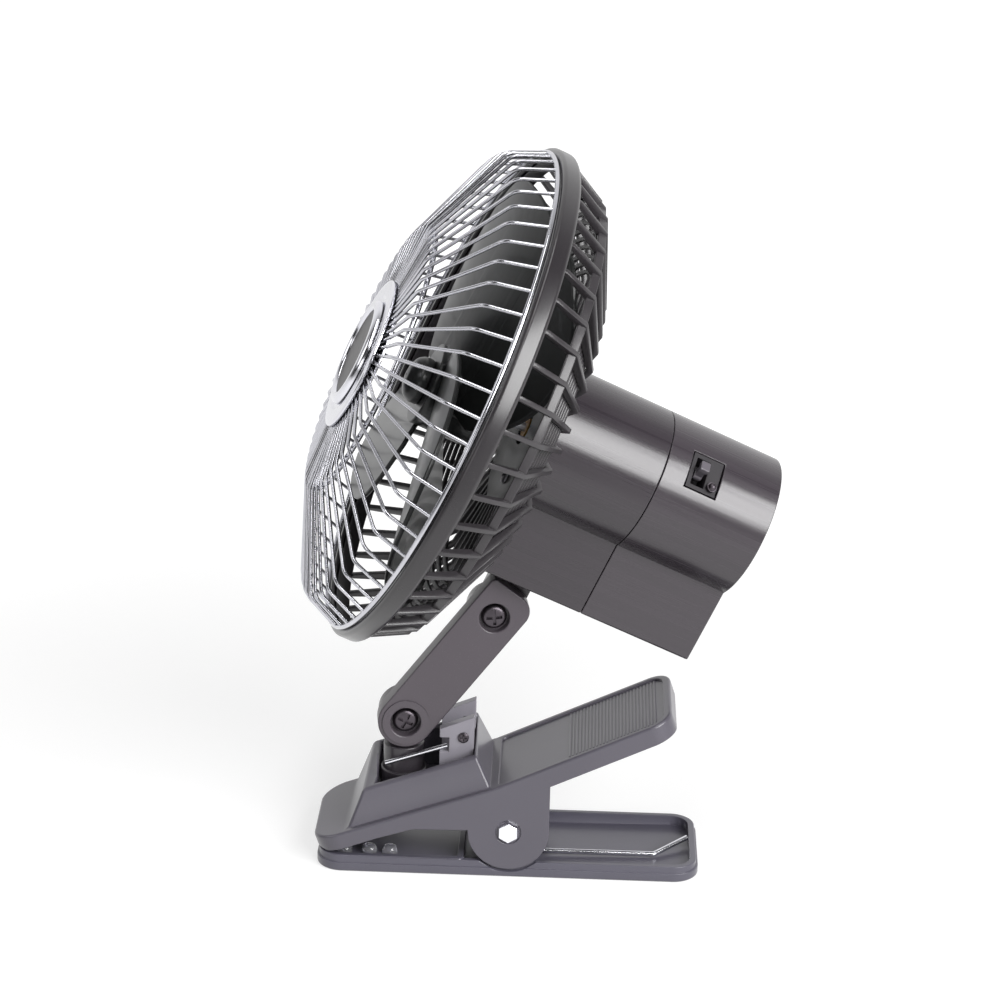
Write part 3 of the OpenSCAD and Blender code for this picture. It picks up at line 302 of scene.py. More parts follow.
def even_splits(bm, inward):
    """Cuts the flat many-sided faces into plump triangles and joins these again, slimmest corner first,
    wherever the joined face's corners turn inward by fewer degrees than given."""
    pieces = [face for face in bm.faces if len(face.verts) > 4]
    bmesh.ops.triangulate(bm, faces=pieces, quad_method="BEAUTY", ngon_method="BEAUTY")
    splits = [edge for edge in bm.edges if len(edge.link_faces) == 2 and edge.calc_face_angle(9) < FLAT]
    bmesh.ops.beautify_fill(bm, faces=list({face for edge in splits for face in edge.link_faces}), edges=splits)
    splits = [edge for edge in bm.edges if len(edge.link_faces) == 2 and edge.calc_face_angle(9) < FLAT]
    splits.sort(key=lambda edge: min(loop.calc_angle() for face in edge.link_faces for loop in face.loops
                                     if loop.vert in edge.verts))
    for edge in splits:
        if not edge.is_valid or len(edge.link_faces) != 2:
            continue
        first, second = edge.link_faces
        turns = [sum(loop.calc_angle() for face in (first, second) for loop in face.loops if loop.vert == vert)
                 for vert in edge.verts]
        if len(set(first.verts) & set(second.verts)) == 2 and max(turns) < math.radians(180 + inward):
            bmesh.utils.face_join([first, second])


# Lengths in metres: corners to weld before the rounding, the slack of a surface, corners to weld after it.
WELD, SLACK, CLOSE = 4e-6, 2e-6, 3e-5
# Faces with more sides than this are cut where their outline turns inward.
MOST_SIDES = 6
# How far the rounding may throw a corner, as a share of its radius.
FARTHEST = 0.5


def soft_edged(node, material, radius, thin, steps=2, turn_from=34, wide=None, small=None, inward=None):
    """A joined copy of a node's mesh. Its outward edges that turn by turn_from degrees or more are rounded,
    except on patches narrower than thin; patches narrower than wide get the small radius. With inward given,
    flat faces are first split evenly."""
    bm = bmesh.new()
    bm.from_mesh(nodes[node].data)
    bmesh.ops.remove_doubles(bm, verts=bm.verts, dist=WELD)
    bmesh.ops.dissolve_degenerate(bm, edges=bm.edges, dist=SLACK)
    bmesh.ops.dissolve_limit(bm, angle_limit=FLAT, verts=bm.verts, edges=bm.edges)
    if inward is None:
        bmesh.ops.connect_verts_concave(bm, faces=[face for face in bm.faces if len(face.verts) > MOST_SIDES])
    else:
        even_splits(bm, inward)
    width = patch_widths(bm, turn_from)
    weight = bm.edges.layers.float.new("bevel_weight_edge")
    for edge in bm.edges:
        if len(edge.link_faces) != 2 or not edge.is_convex:
            continue
        least = min(width[face] for face in edge.link_faces)
        if math.degrees(edge.calc_face_angle(0)) >= turn_from and least >= thin:
            edge[weight] = 1.0 if wide is None or least >= wide else small / radius
    cut = bpy.data.meshes.new(node)
    bm.to_mesh(cut)
    uncut = BVHTree.FromBMesh(bm)
    bm.free()
    blank = bpy.data.objects.new(node, cut)
    bpy.context.scene.collection.objects.link(blank)
    rounding = blank.modifiers.new("rounding", "BEVEL")
    rounding.limit_method = "WEIGHT"
    rounding.width = radius
    rounding.segments = steps
    rounding.use_clamp_overlap = False
    bm = bmesh.new()
    bm.from_mesh(plain_copy(blank))
    bpy.data.objects.remove(blank)
    # A corner that the rounding threw too far, or outside the piece, goes back to the uncut surface.
    for corner in bm.verts:
        near, normal, _, gap = uncut.find_nearest(corner.co)
        outside = (corner.co - near).dot(normal) > 0
        if gap > FARTHEST * radius or (outside and gap > SLACK):
            corner.co = near
    bmesh.ops.remove_doubles(bm, verts=bm.verts, dist=CLOSE)
    mesh = bpy.data.meshes.new(node)
    bm.to_mesh(mesh)
    bm.free()
    smoothed(mesh)
    obj = solid(node + "_skin", mesh, material)
    weighted = obj.modifiers.new("even", "WEIGHTED_NORMAL")
    weighted.keep_sharp = True
    weighted.weight = 80
    made = plain_copy(obj)
    obj.modifiers.clear()
    obj.data = made
    return obj


def softened(node, material, body, slot, radius, thin, **choices):
    """Dresses a node in its own mesh with rounded edges."""
    keep(soft_edged(node, material, radius, thin, **choices), body, slot, node)


clip_plastic = moulded("clip_plastic", shade(80, 78, 89), roughness=0.34, change=0.22, gloss_change=0.16,
                       clouds=38, grain=3200, bump=0.1, depth=0.00003, coat=0.25, coat_roughness=0.2, dust=0.05)
softened("lower_jaw", clip_plastic, "clip_base", "clip_plastic", radius=0.0008, thin=0.0008, steps=3,
         wide=0.0028, small=0.0003)

# ---------- Upper jaw ----------
# The sprung lever in the same blue-grey plastic: nose, cheeks, raised swivel box and a handle whose
# recessed top has fine moulded ribs across it.

handle_plastic = moulded("handle_plastic", shade(82, 79, 88), roughness=0.36, change=0.25, gloss_change=0.18,
                         clouds=30, grain=3000, bump=0.1, depth=0.00003, coat=0.3, coat_roughness=0.22, dust=0.05)
softened("upper_jaw", handle_plastic, "clip_lever", "clip_plastic", radius=0.0011, thin=0.0007, steps=4,
         wide=0.0022, small=0.00035, inward=0.05)

# ---------- Jaw pad and tray nubs ----------
# A strip of black rubber inside the nose, and six soft clear feet pushed into the lower jaw's deck.

pad_rubber = moulded("pad_rubber", shade(38, 38, 40), roughness=0.75, change=0.3, clouds=120, grain=1400, bump=0.35,
                     depth=0.00008, dust=0.15)
softened("jaw_pad", pad_rubber, "clip_lever", "rubber", radius=0.0005, thin=0.0008)


# A profile point nearer the axis than this, in millimetres, lies on it.
ON_AXIS = 1e-6
# The share of either side that a corner's arc may take.
ARC_SHARE = 0.45


def turned(profile, steps, closed=True):
    """A lathe-turned mesh about Z from (radius, height) points, in millimetres, with smooth sides."""
    bm = bmesh.new()
    rings = []
    for r, z in profile:
        if r < ON_AXIS:
            rings.append([bm.verts.new((0, 0, z / 1000))])
            continue
        rings.append([bm.verts.new((r / 1000 * math.cos(2 * math.pi * k / steps),
                                    r / 1000 * math.sin(2 * math.pi * k / steps), z / 1000)) for k in range(steps)])
    pairs = list(zip(rings, rings[1:] + rings[:1])) if closed else list(zip(rings, rings[1:]))
    for low, high in pairs:
        for k in range(steps):
            n = (k + 1) % steps
            if len(low) == 1 and len(high) == 1:
                continue
            if len(low) == 1:
                bm.faces.new((low[0], high[n], high[k]))
            elif len(high) == 1:
                bm.faces.new((low[k], low[n], high[0]))
            else:
                bm.faces.new((low[k], low[n], high[n], high[k]))
    bmesh.ops.recalc_face_normals(bm, faces=bm.faces)
    mesh = bpy.data.meshes.new("turned")
    bm.to_mesh(mesh)
    bm.free()
    smoothed(mesh)
    return mesh


def rounded_corners(points, radius, steps=4, closed=True):
    """The outline with each corner cut back and replaced by a small arc, in the outline's own unit."""
    out = []
    count = len(points)
    for i, p in enumerate(points):
        if not closed and i in (0, count - 1):
            out.append(p)
            continue
        a, b, c = Vector(points[i - 1]), Vector(p), Vector(points[(i + 1) % count])
        cut = min(radius, ARC_SHARE * (a - b).length, ARC_SHARE * (c - b).length)
        start, end = b + (a - b).normalized() * cut, b + (c - b).normalized() * cut
        for k in range(steps + 1):
            t = k / steps
            out.append(tuple(start * (1 - t) ** 2 + b * 2 * t * (1 - t) + end * t * t))
    return out


def joined(meshes):
    """One mesh out of several."""
    bm = bmesh.new()
    for mesh in meshes:
        bm.from_mesh(mesh)
    made = bpy.data.meshes.new("joined")
    bm.to_mesh(made)
    bm.free()
    smoothed(made)
    return made


def moved(x, y, z):
    """A shift given in millimetres."""
    return Matrix.Translation((x / 1000, y / 1000, z / 1000))


def skin(node, mesh, material, body, slot, place=None):
    """A dressed piece for one node from a mesh that place moves into the frame."""
    if place is not None:
        mesh.transform(place)
    keep(solid(node + "_skin", mesh, material), body, slot, node)


clear_feet = moulded("clear_feet", shade(214, 214, 220), roughness=0.12, change=0.15, gloss_change=0.1,
                     clouds=160, grain=900, bump=0.15, depth=0.0001, clear=0.85, ior=1.46)
foot_x, foot_rows, foot_r, foot_low, foot_top, foot_crown = 14.5, (-56, -47.5, -40.5), 2.6, 4, 6.9, 0.8
foot_profile = rounded_corners([(foot_r, foot_low), (foot_r, foot_top - 1.3), (foot_r - 0.7, foot_top - 0.2),
                                (foot_crown, foot_top), (0, foot_top), (0, foot_low)], radius=0.35, steps=3,
                               closed=False)
feet = []
for side in (-1, 1):
    for y in foot_rows:
        foot = turned(foot_profile, steps=28, closed=False)
        foot.transform(moved(side * foot_x, y, 0))
        feet.append(foot)
skin("tray_nubs", joined(feet), clear_feet, "clip_base", "clear_rubber")

# ---------- Hinge bolt and nut ----------
# A polished steel bolt right through the clip, with a low hexagonal head on the near side and a nut
# on the far side.


def metal(name, colour, roughness, grain=900.0, bump=0.05, change=0.2, gloss_change=0.12, clouds=90.0, turn=None,
          stretch=None):
    """A metal on the moulded finish, with a shallow grain."""
    return moulded(name, colour, roughness=roughness, change=change, gloss_change=gloss_change, clouds=clouds,
                   grain=grain, bump=bump, depth=0.00002, metallic=1.0, turn=turn, stretch=stretch)


polished_steel = metal("polished_steel", shade(244, 244, 250), roughness=0.3, clouds=300)
for node in ("hinge_bolt", "hinge_nut"):
    softened(node, polished_steel, "clip_base", "bright_steel", radius=0.0002, thin=0.0004, turn_from=40)

# ---------- Clip spring ----------
# A torsion spring bent from one bright steel wire: a long coil on the bolt, a cranked leg along the tray,
# and a leg under the handle, a piece of its own so that it turns with the handle.


def geometry_tree(name, **kinds):
    """An empty geometry node group that takes a geometry, a finish and the inputs given, and the sockets of
    its inputs."""
    tree = bpy.data.node_groups.new(name, "GeometryNodeTree")
    face = tree.interface
    face.new_socket("Geometry", in_out="INPUT", socket_type="NodeSocketGeometry")
    for key, kind in kinds.items():
        face.new_socket(key.replace("_", " ").title(), in_out="INPUT", socket_type="NodeSocket" + kind)
    face.new_socket("Finish", in_out="INPUT", socket_type="NodeSocketMaterial")
    face.new_socket("Geometry", in_out="OUTPUT", socket_type="NodeSocketGeometry")
    return tree, add(tree, "NodeGroupInput").outputs


def close_tree(tree, made, finish):
    """Gives what the group has made its finish and hands it out."""
    real = add(tree, "GeometryNodeRealizeInstances", {0: made})
    dressed = add(tree, "GeometryNodeSetMaterial", {"Geometry": real.outputs[0], "Material": finish})
    tree.links.new(dressed.outputs[0], add(tree, "NodeGroupOutput").inputs[0])


def swept_tree():
    """Geometry nodes: a round bar along the input's edges, with its corners bent to a radius."""
    tree, given = geometry_tree("swept_bar", bar_radius="Float", bend_radius="Float", bend_steps="Int", sides="Int")
    line = add(tree, "GeometryNodeMeshToCurve", {"Mesh": given["Geometry"]})
    bent = add(tree, "GeometryNodeFilletCurve", {"Curve": line.outputs[0], "Radius": given["Bend Radius"],
                                                 "Count": given["Bend Steps"], "Limit Radius": True}, mode="POLY")
    ring = add(tree, "GeometryNodeCurvePrimitiveCircle", {"Resolution": given["Sides"],
                                                          "Radius": given["Bar Radius"]})
    bar = add(tree, "GeometryNodeCurveToMesh", {"Curve": bent.outputs[0], "Profile Curve": ring.outputs[0],
                                                "Fill Caps": True})
    close_tree(tree, bar.outputs[0], given["Finish"])
    return tree


swept_bar = swept_tree()


# Corners closer than this, in metres, are one.
SAME_PLACE = 1e-7


def grown(base, tree, **sizes):
    """The mesh that a geometry node tree makes out of base, with its inputs set by name."""
    obj = bpy.data.objects.new("base", base)
    bpy.context.scene.collection.objects.link(obj)
    maker = obj.modifiers.new("maker", "NODES")
    maker.node_group = tree
    for item in tree.interface.items_tree:
        key = item.name.replace(" ", "_").lower()
        if item.item_type == "SOCKET" and item.in_out == "INPUT" and key in sizes:
            maker[item.identifier] = sizes[key]
    made = plain_copy(obj)
    bpy.data.objects.remove(obj)
    bm = bmesh.new()
    bm.from_mesh(made)
    bmesh.ops.remove_doubles(bm, verts=bm.verts, dist=SAME_PLACE)
    bmesh.ops.recalc_face_normals(bm, faces=bm.faces)
    bm.to_mesh(made)
    bm.free()
    smoothed(made)
    return made


def line_mesh(points):
    """A mesh of bare edges through points in millimetres."""
    mesh = bpy.data.meshes.new("line")
    edges = [(i, i + 1) for i in range(len(points) - 1)]
    mesh.from_pydata([Vector(p) / 1000 for p in points], edges, [])
    return mesh


spring_steel = metal("spring_steel", shade(226, 226, 232), roughness=0.2, clouds=200, change=0.3)
wire_r, coil_r, turns, bolt_h = 0.9, 6.1, 7, 16.7
coil_x, coil_pitch, coil_steps, coil_start, past_turn = 8.0, 2.05, 28, -60, 10
leg_h, leg_start, leg_crank, leg_end, leg_end_x = 3.2, 12, 50, 61.5, -3
coil = []
for i in range(turns * coil_steps + past_turn):
    angle = math.radians(coil_start + i * 360 / coil_steps)
    coil.append((coil_x - coil_pitch * i / coil_steps, coil_r * math.cos(angle), bolt_h + coil_r * math.sin(angle)))
spring_path = [(leg_end_x, leg_end, leg_h + 1.8), (coil_x - 1, leg_crank, leg_h),
               (coil_x, leg_start, leg_h + 0.4)] + coil
last_x = coil[-1][0]
upper_leg = [coil[-1], (last_x - 0.5, 13, bolt_h + 13.5), (last_x - 1, 26, bolt_h + 22)]
for name, path, bend, body in (("spring_coils", spring_path, 0.0012, "clip_base"),
                               ("spring_leg", upper_leg, 0.002, "clip_lever")):
    wire = grown(line_mesh(path), swept_bar, bar_radius=wire_r / 1000, bend_radius=bend, bend_steps=4, sides=12,
                 finish=spring_steel)
    keep(solid(name, wire, spring_steel), body, "bright_steel", "clip_spring")

# ---------- Swivel base ----------
# The dark turret that turns in the pocket and carries the arm on its one ear, with the washer and the
# screw that hold it down from below.

# The turret's near-black is partly its own dark plastic and partly painted shade for the shadow it sits in under the
# arm and the fan.
turret_plastic = moulded("turret_plastic", shade(46, 42, 47), roughness=0.38, change=0.3, clouds=60, grain=2200,
                         bump=0.12, depth=0.00004, coat=0.2, dust=0.06)
softened("swivel_base", turret_plastic, "turret", "dark_plastic", radius=0.0005, thin=0.0009)


def coated(node, material):
    """Gives a node of the solid model its material."""
    nodes[node].data.materials.clear()
    nodes[node].data.materials.append(material)


zinc_steel = metal("zinc_steel", shade(168, 166, 172), roughness=0.3, grain=700, change=0.35, gloss_change=0.2)
for node in ("swivel_washer", "swivel_screw"):
    coated(node, zinc_steel)

# ---------- Tie bracket and wire ----------
# A small U bracket behind the turret, its screw, and the straight bright wire that runs from the post
# in the pocket's corner into the bracket's notch.

# The bracket is the clip's plastic. Its paler shade is painted light, standing in for the light on its near faces.
bracket_plastic = moulded("bracket_plastic", shade(132, 129, 137), roughness=0.36, change=0.25, clouds=70,
                          grain=2600, bump=0.1, coat=0.2)
softened("tie_bracket", bracket_plastic, "clip_lever", "clip_plastic", radius=0.0003, thin=0.0007)
dark_screw = metal("dark_screw", shade(84, 79, 84), roughness=0.38, grain=900, change=0.4, gloss_change=0.2)
softened("tie_screw", dark_screw, "clip_lever", "screw_steel", radius=0.00012, thin=0.0002, turn_from=50)
swivel_y, tie_x, tie_h, tie_before, tie_run, tie_r = -36.9, 8.1, 34.6, 5.9, 21.2, 0.8
tie_rise = math.radians(19)
tie_start = Vector((tie_x, swivel_y - tie_before, tie_h))
tie_end = tie_start + Vector((0, tie_run, tie_run * math.tan(tie_rise)))
tie_mesh = grown(line_mesh([tie_start, tie_end]), swept_bar, bar_radius=tie_r / 1000, bend_radius=0.001,
                 bend_steps=2, sides=14, finish=spring_steel)
skin("tie_wire", tie_mesh, spring_steel, "clip_lever", "bright_steel")

# ---------- Arm ----------
# The stiff flat arm in warm dark-grey plastic, with a low boss and a recess for a screw head at each
# pivot.

arm_plastic = moulded("arm_plastic", shade(74, 68, 74), roughness=0.4, change=0.2, gloss_change=0.15, clouds=32,
                      grain=2400, bump=0.14, depth=0.00004, coat=0.15, coat_roughness=0.25, dust=0.05)
softened("arm", arm_plastic, "arm_body", "arm_plastic", radius=0.0006, thin=0.0009, inward=20)

# ---------- Pivot screws and nuts ----------
# Two dark pan-head screws with a cross recess, sunk in the arm, and their plain hexagon nuts on the far
# side of the ears.

swivel_turn, arm_lean, head_tilt = math.radians(7), math.radians(51.7), math.radians(25.3)
pivot_h, arm_len, fan_ahead, fan_above = 49.5, 47.7, 62.9, 47.1
on_arm = (moved(0, swivel_y, 0) @ Matrix.Rotation(swivel_turn, 4, "Z") @ moved(0, 0, pivot_h)
          @ Matrix.Rotation(arm_lean, 4, "X"))
on_head = (on_arm @ moved(0, arm_len, 0) @ Matrix.Rotation(math.pi / 2 - head_tilt - arm_lean, 4, "X")
           @ moved(0, fan_ahead, fan_above))


def screw_shape(head_r, head_h, shank_r, shank_len):
    """A pan-head screw with a cross recess, its head standing on z = 0, in millimetres."""
    cross_len, cross_w, cross_h, cross_mid = head_r * 1.25, head_r * 0.26, head_h * 1.3, head_h * 1.1
    head = turned(rounded_corners([(0, -shank_len), (shank_r, -shank_len), (shank_r, 0), (head_r, 0),
                                   (head_r, head_h * 0.35), (head_r * 0.8, head_h * 0.85), (head_r * 0.35, head_h),
                                   (0, head_h)], radius=head_h * 0.25, steps=3, closed=False),
                  steps=40, closed=False)
    bm = bmesh.new()
    for turn in (0, math.pi / 2):
        cut = bmesh.ops.create_cube(bm, size=1)["verts"]
        bmesh.ops.scale(bm, verts=cut, vec=(cross_len / 1000, cross_w / 1000, cross_h / 1000))
        bmesh.ops.rotate(bm, verts=cut, matrix=Matrix.Rotation(turn, 3, "Z"))
        bmesh.ops.translate(bm, verts=cut, vec=(0, 0, cross_mid / 1000))
    cross = bpy.data.meshes.new("cross")
    bm.to_mesh(cross)
    bm.free()
    body, cutter = bpy.data.objects.new("body", head), bpy.data.objects.new("cutter", cross)
    for obj in (body, cutter):
        bpy.context.scene.collection.objects.link(obj)
    carve = body.modifiers.new("carve", "BOOLEAN")
    carve.operation, carve.object, carve.use_self = "DIFFERENCE", cutter, True
    made = plain_copy(body)
    bpy.data.objects.remove(body)
    bpy.data.objects.remove(cutter)
    smoothed(made, 30)
    return made


recess_x = 4.2
for node, along, slot_turn in (("lower_pivot_screw", 0, 0.2), ("upper_pivot_screw", arm_len, 0.75)):
    skin(node, screw_shape(head_r=4.35, head_h=2.3, shank_r=1.95, shank_len=13.0), dark_screw, "arm_body",
         "screw_steel", on_arm @ moved(recess_x, along, 0) @ Matrix.Rotation(math.pi / 2, 4, "Y")
         @ Matrix.Rotation(slot_turn, 4, "Z"))
for node in ("lower_pivot_nut", "upper_pivot_nut"):
    softened(node, polished_steel, "arm_body", "bright_steel", radius=0.0002, thin=0.0004, turn_from=40)

# ---------- Housing ----------
# Two glossy dark shells in warm grey that meet at a fine split line: a round motor tunnel over a square
# battery box. The tool marks run along the fan's axis as faint streaks.

head_inverse = on_head.inverted()
streak = (1.0, 1.0, 0.02)
# The rear shell is the same plastic as the front, painted a little lighter as painted light for the brighter light on
# its box.
for node, tone, inward in (("front_housing", shade(48, 43, 48), 0.05), ("rear_housing", shade(57, 52, 57), 20)):
    shell = moulded(node + "_plastic", tone, roughness=0.27, change=0.5, gloss_change=0.3, clouds=420, grain=900,
                    bump=0.3, depth=0.00006, coat=0.3, coat_roughness=0.16, turn=head_inverse, stretch=streak)
    softened(node, shell, "head", "housing_plastic", radius=0.0003, thin=0.0009, turn_from=30, inward=inward)
rear_screw_x, rear_screw_y, rear_wall, slot_turn = 12, 16, -111.2, 0.5
pair = []
for side in (-1, 1):
    screw = screw_shape(head_r=2.35, head_h=1.2, shank_r=1.2, shank_len=6.5)
    screw.transform(on_head @ moved(side * rear_screw_x, rear_screw_y, rear_wall)
                    @ Matrix.Rotation(math.pi, 4, "X") @ Matrix.Rotation(slot_turn * side, 4, "Z"))
    pair.append(screw)
skin("rear_screws", joined(pair), zinc_steel, "head", "screw_steel")

# ---------- Guard rim ----------
# The moulded hoop that clips the wire grille to the rear cage: a flat glossy band with soft sloped
# corners and a thin lip turned in at the front.

rim_r, rim_t, rim_w = 87.5, 1.7, 6.4
rim_plastic = moulded("rim_plastic", shade(38, 35, 38), roughness=0.3, change=0.25, gloss_change=0.15, clouds=55,
                      grain=2600, bump=0.1, coat=0.3, coat_roughness=0.2, turn=head_inverse, dust=0.04)
rim_side, slope_in, slope_down, lip_in, lip_t = rim_w / 2, 0.7, 0.9, 2, 1.2
rim_profile = rounded_corners([
    (rim_r - rim_t, -rim_side), (rim_r - slope_in, -rim_side), (rim_r, slope_down - rim_side),
    (rim_r, rim_side - slope_down), (rim_r - slope_in, rim_side), (rim_r - rim_t - lip_in, rim_side),
    (rim_r - rim_t - lip_in, rim_side - lip_t), (rim_r - rim_t, rim_side - lip_t)], radius=0.5)
skin("guard_rim", turned(rim_profile, steps=180), rim_plastic, "head", "rim_plastic", on_head)

# ---------- Rear cage ----------
# The dark moulded basket behind the blades: forty-eight bent ribs from the rim to the plate, stiffening
# rings across them, fine slats on the sloped back, and three screws in the plate.

cage_plastic = moulded("cage_plastic", shade(46, 43, 46), roughness=0.38, change=0.3, clouds=70, grain=2200,
                       bump=0.12, coat=0.2, coat_roughness=0.2, turn=head_inverse, dust=0.05)
corner_r, corner_depth, cage_inner_r, cage_back, plate_r, plate_t, plate_hole = 78, 16, 54, 29.7, 28, 2, 6
cage_play, rib_count, rib_w, rib_top, rib_heel, set_in, overlap = 0.3, 48, 1.7, -2.4, -4.4, 0.45, 1
cage_out = rim_r - rim_t - cage_play
inner_h, bend_r, bend_h = plate_t + 0.4 - cage_back, corner_r - 1.8, 1 - corner_depth
rib_outline = [(cage_out - set_in, rib_top), (cage_out - set_in, rib_heel), (corner_r + 0.8, -corner_depth - 1),
               (cage_inner_r, -cage_back), (plate_r - overlap, set_in - cage_back),
               (plate_r - overlap, plate_t - set_in - cage_back), (cage_inner_r, inner_h), (bend_r, bend_h),
               (cage_out - 1.35, rib_top)]


def ring_tree():
    """Geometry nodes: copies of the input set round the Z axis."""
    tree, given = geometry_tree("set_round", count="Int", radius="Float", start="Float")
    spots = add(tree, "GeometryNodeMeshLine", {"Count": given["Count"], "Offset": (0, 0, 0)})
    index = add(tree, "GeometryNodeInputIndex")
    step = add(tree, "ShaderNodeMath", {0: 2 * math.pi, 1: given["Count"]}, operation="DIVIDE")
    turn = add(tree, "ShaderNodeMath", {0: index.outputs[0], 1: step.outputs[0], 2: given["Start"]},
               operation="MULTIPLY_ADD")
    across = add(tree, "ShaderNodeMath", {0: turn.outputs[0]}, operation="COSINE")
    up = add(tree, "ShaderNodeMath", {0: turn.outputs[0]}, operation="SINE")
    unit = add(tree, "ShaderNodeCombineXYZ", {0: across.outputs[0], 1: up.outputs[0], 2: 0.0})
    spot = add(tree, "ShaderNodeVectorMath", {0: unit.outputs[0], "Scale": given["Radius"]}, operation="SCALE")
    set_out = add(tree, "GeometryNodeSetPosition", {"Geometry": spots.outputs[0], "Position": spot.outputs[0]})
    angle = add(tree, "ShaderNodeCombineXYZ", {0: 0.0, 1: 0.0, 2: turn.outputs[0]})
    placed = add(tree, "GeometryNodeInstanceOnPoints", {"Points": set_out.outputs[0], "Instance": given["Geometry"],
                                                        "Rotation": angle.outputs[0]})
    close_tree(tree, placed.outputs[0], given["Finish"])
    return tree


set_round = ring_tree()


def flat_bar(outline, thickness, edge):
    """A flat bar cut from an (radius, height) outline, centred on the XZ plane, with rounded edges."""
    bm = bmesh.new()
    face = bm.faces.new([bm.verts.new((r / 1000, -thickness / 2000, z / 1000)) for r, z in outline])
    pushed = bmesh.ops.extrude_face_region(bm, geom=[face])
    bmesh.ops.translate(bm, verts=[v for v in pushed["geom"] if isinstance(v, bmesh.types.BMVert)],
                        vec=(0, thickness / 1000, 0))
    bmesh.ops.recalc_face_normals(bm, faces=bm.faces)
    rim = [e for e in bm.edges if abs(e.verts[0].co.y - e.verts[1].co.y) < SAME_PLACE]
    bmesh.ops.bevel(bm, geom=rim, offset=edge / 1000, segments=2, profile=0.5, affect="EDGES",
                    clamp_overlap=False)
    mesh = bpy.data.meshes.new("bar")
    bm.to_mesh(mesh)
    bm.free()
    return mesh


def band(inner, outer, low, high, edge, steps):
    """A turned ring of rectangular section with rounded edges."""
    return turned(rounded_corners([(inner, low), (outer, low), (outer, high), (inner, high)], edge), steps)


ribs = grown(flat_bar(rib_outline, thickness=rib_w, edge=0.3), set_round, count=rib_count, radius=0.0,
             start=math.pi / rib_count, finish=cage_plastic)
hoop = band(inner=cage_out - 1.8, outer=cage_out, low=-3.6, high=1.4, edge=0.4, steps=144)
plate = band(inner=plate_hole, outer=plate_r, low=-cage_back, high=plate_t - cage_back, edge=0.4, steps=96)
stiffener = band(inner=corner_r - 1, outer=corner_r + 0.3, low=-corner_depth - 0.9, high=2 - corner_depth, edge=0.35,
                 steps=144)
skin("rear_cage", joined([ribs, hoop, plate, stiffener]), cage_plastic, "head", "cage_plastic", on_head)

slat_count, slat_w, slat_low = 9, 1.1, 0.1
first_slat, slat_span = cage_inner_r + 1, corner_r - 5 - cage_inner_r
rise = (bend_h - inner_h) / (bend_r - cage_inner_r)
slats = []
for i in range(slat_count):
    r = first_slat + i * slat_span / (slat_count - 1)
    z = inner_h + (r - cage_inner_r) * rise
    outer_z = z + slat_w * rise
    slats.append(turned(rounded_corners([(r, z + slat_low), (r + slat_w, outer_z + slat_low),
                                         (r + slat_w, outer_z + slat_w), (r, z + slat_w)], radius=0.2, steps=2),
                        steps=120))
skin("cage_slats", joined(slats), cage_plastic, "head", "cage_plastic", on_head)

cage_screw = screw_shape(head_r=2.55, head_h=1.35, shank_r=1.4, shank_len=1.8)
screw_count, screw_ring_r = 3, 0.018
cage_screws = grown(cage_screw, set_round, count=screw_count, radius=screw_ring_r, start=math.pi / screw_count,
                    finish=zinc_steel)
skin("cage_screws", cage_screws, zinc_steel, "head", "screw_steel", on_head @ moved(0, 0, plate_t - cage_back))

# ---------- Wire grille ----------
# Sixty-two chromed wires, each bent twice, welded to a hoop inside the rim and to a smaller hoop at the
# inner bend, and gripped at their inner ends by the badge.

chrome = metal("chrome", shade(196, 196, 202), roughness=0.2, clouds=160, change=0.35, gloss_change=0.1, grain=500)
hoop_r, hoop_h, bar_r, hoop_bar_r, hoop_gap, hoop_sides, wire_count = 84.9, 4.25, 0.62, 0.9, 0.35, 12, 62
bend_out_r, bend_out_h, bend_in_r, bend_in_h, wire_end_r, wire_end_h = 79.5, 16.2, 46.5, 30.2, 24.0, 31.25
wire_path = [(hoop_r, 0, hoop_h), (bend_out_r, 0, bend_out_h), (bend_in_r, 0, bend_in_h),
             (wire_end_r, 0, wire_end_h)]
one_wire = grown(line_mesh(wire_path), swept_bar, bar_radius=bar_r / 1000, bend_radius=0.0055, bend_steps=5,
                 sides=10, finish=chrome)
wires = grown(one_wire, set_round, count=wire_count, radius=0.0, start=0.0, finish=chrome)
skin("grille_wires", wires, chrome, "head", "chrome", on_head)
hoops = []
for r, z in ((hoop_r, hoop_h), (bend_in_r, bend_in_h - bar_r - hoop_bar_r - hoop_gap)):
    around = [math.tau * k / hoop_sides for k in range(hoop_sides)]
    hoops.append(turned([(r + hoop_bar_r * math.cos(angle), z + hoop_bar_r * math.sin(angle)) for angle in around],
                        steps=144))
skin("grille_rings", joined(hoops), chrome, "head", "chrome", on_head)

# ---------- Badge ----------
# A pressed chrome plate over the wires' inner ends with a raised ring and a bare dark disc, and the
# backing plate behind the wires.

badge_chrome = metal("badge_chrome", shade(222, 222, 228), roughness=0.16, clouds=60, change=0.2,
                     gloss_change=0.08, grain=900)
badge_r, badge_face, badge_t, dish_r, dish_deep, dish_slope = 26.0, 33.3, 1.2, 19.6, 0.3, 0.9
bezel_out, bezel_in, bezel_h, disc_r, disc_h, back_low, back_top = 18.5, 14.6, 2, 14.5, 0.95, 29.4, 30.4
plate_mesh = turned(rounded_corners([
    (0, badge_face - badge_t), (badge_r, badge_face - badge_t), (badge_r, badge_face - 0.25),
    (badge_r - 1.2, badge_face), (dish_r + dish_slope, badge_face), (dish_r, badge_face - dish_deep),
    (0, badge_face - dish_deep)], radius=0.3, steps=3, closed=False), steps=128, closed=False)
skin("badge_plate", plate_mesh, badge_chrome, "head", "chrome", on_head)
bezel_mesh = turned(rounded_corners([
    (bezel_in, badge_face), (bezel_out, badge_face), (bezel_out - 0.4, badge_face + 1.2),
    (bezel_out - 1.5, badge_face + bezel_h), (bezel_in + 0.8, badge_face + bezel_h),
    (bezel_in, badge_face + 1.2)], radius=0.4), steps=128)
skin("badge_bezel", bezel_mesh, badge_chrome, "head", "chrome", on_head)
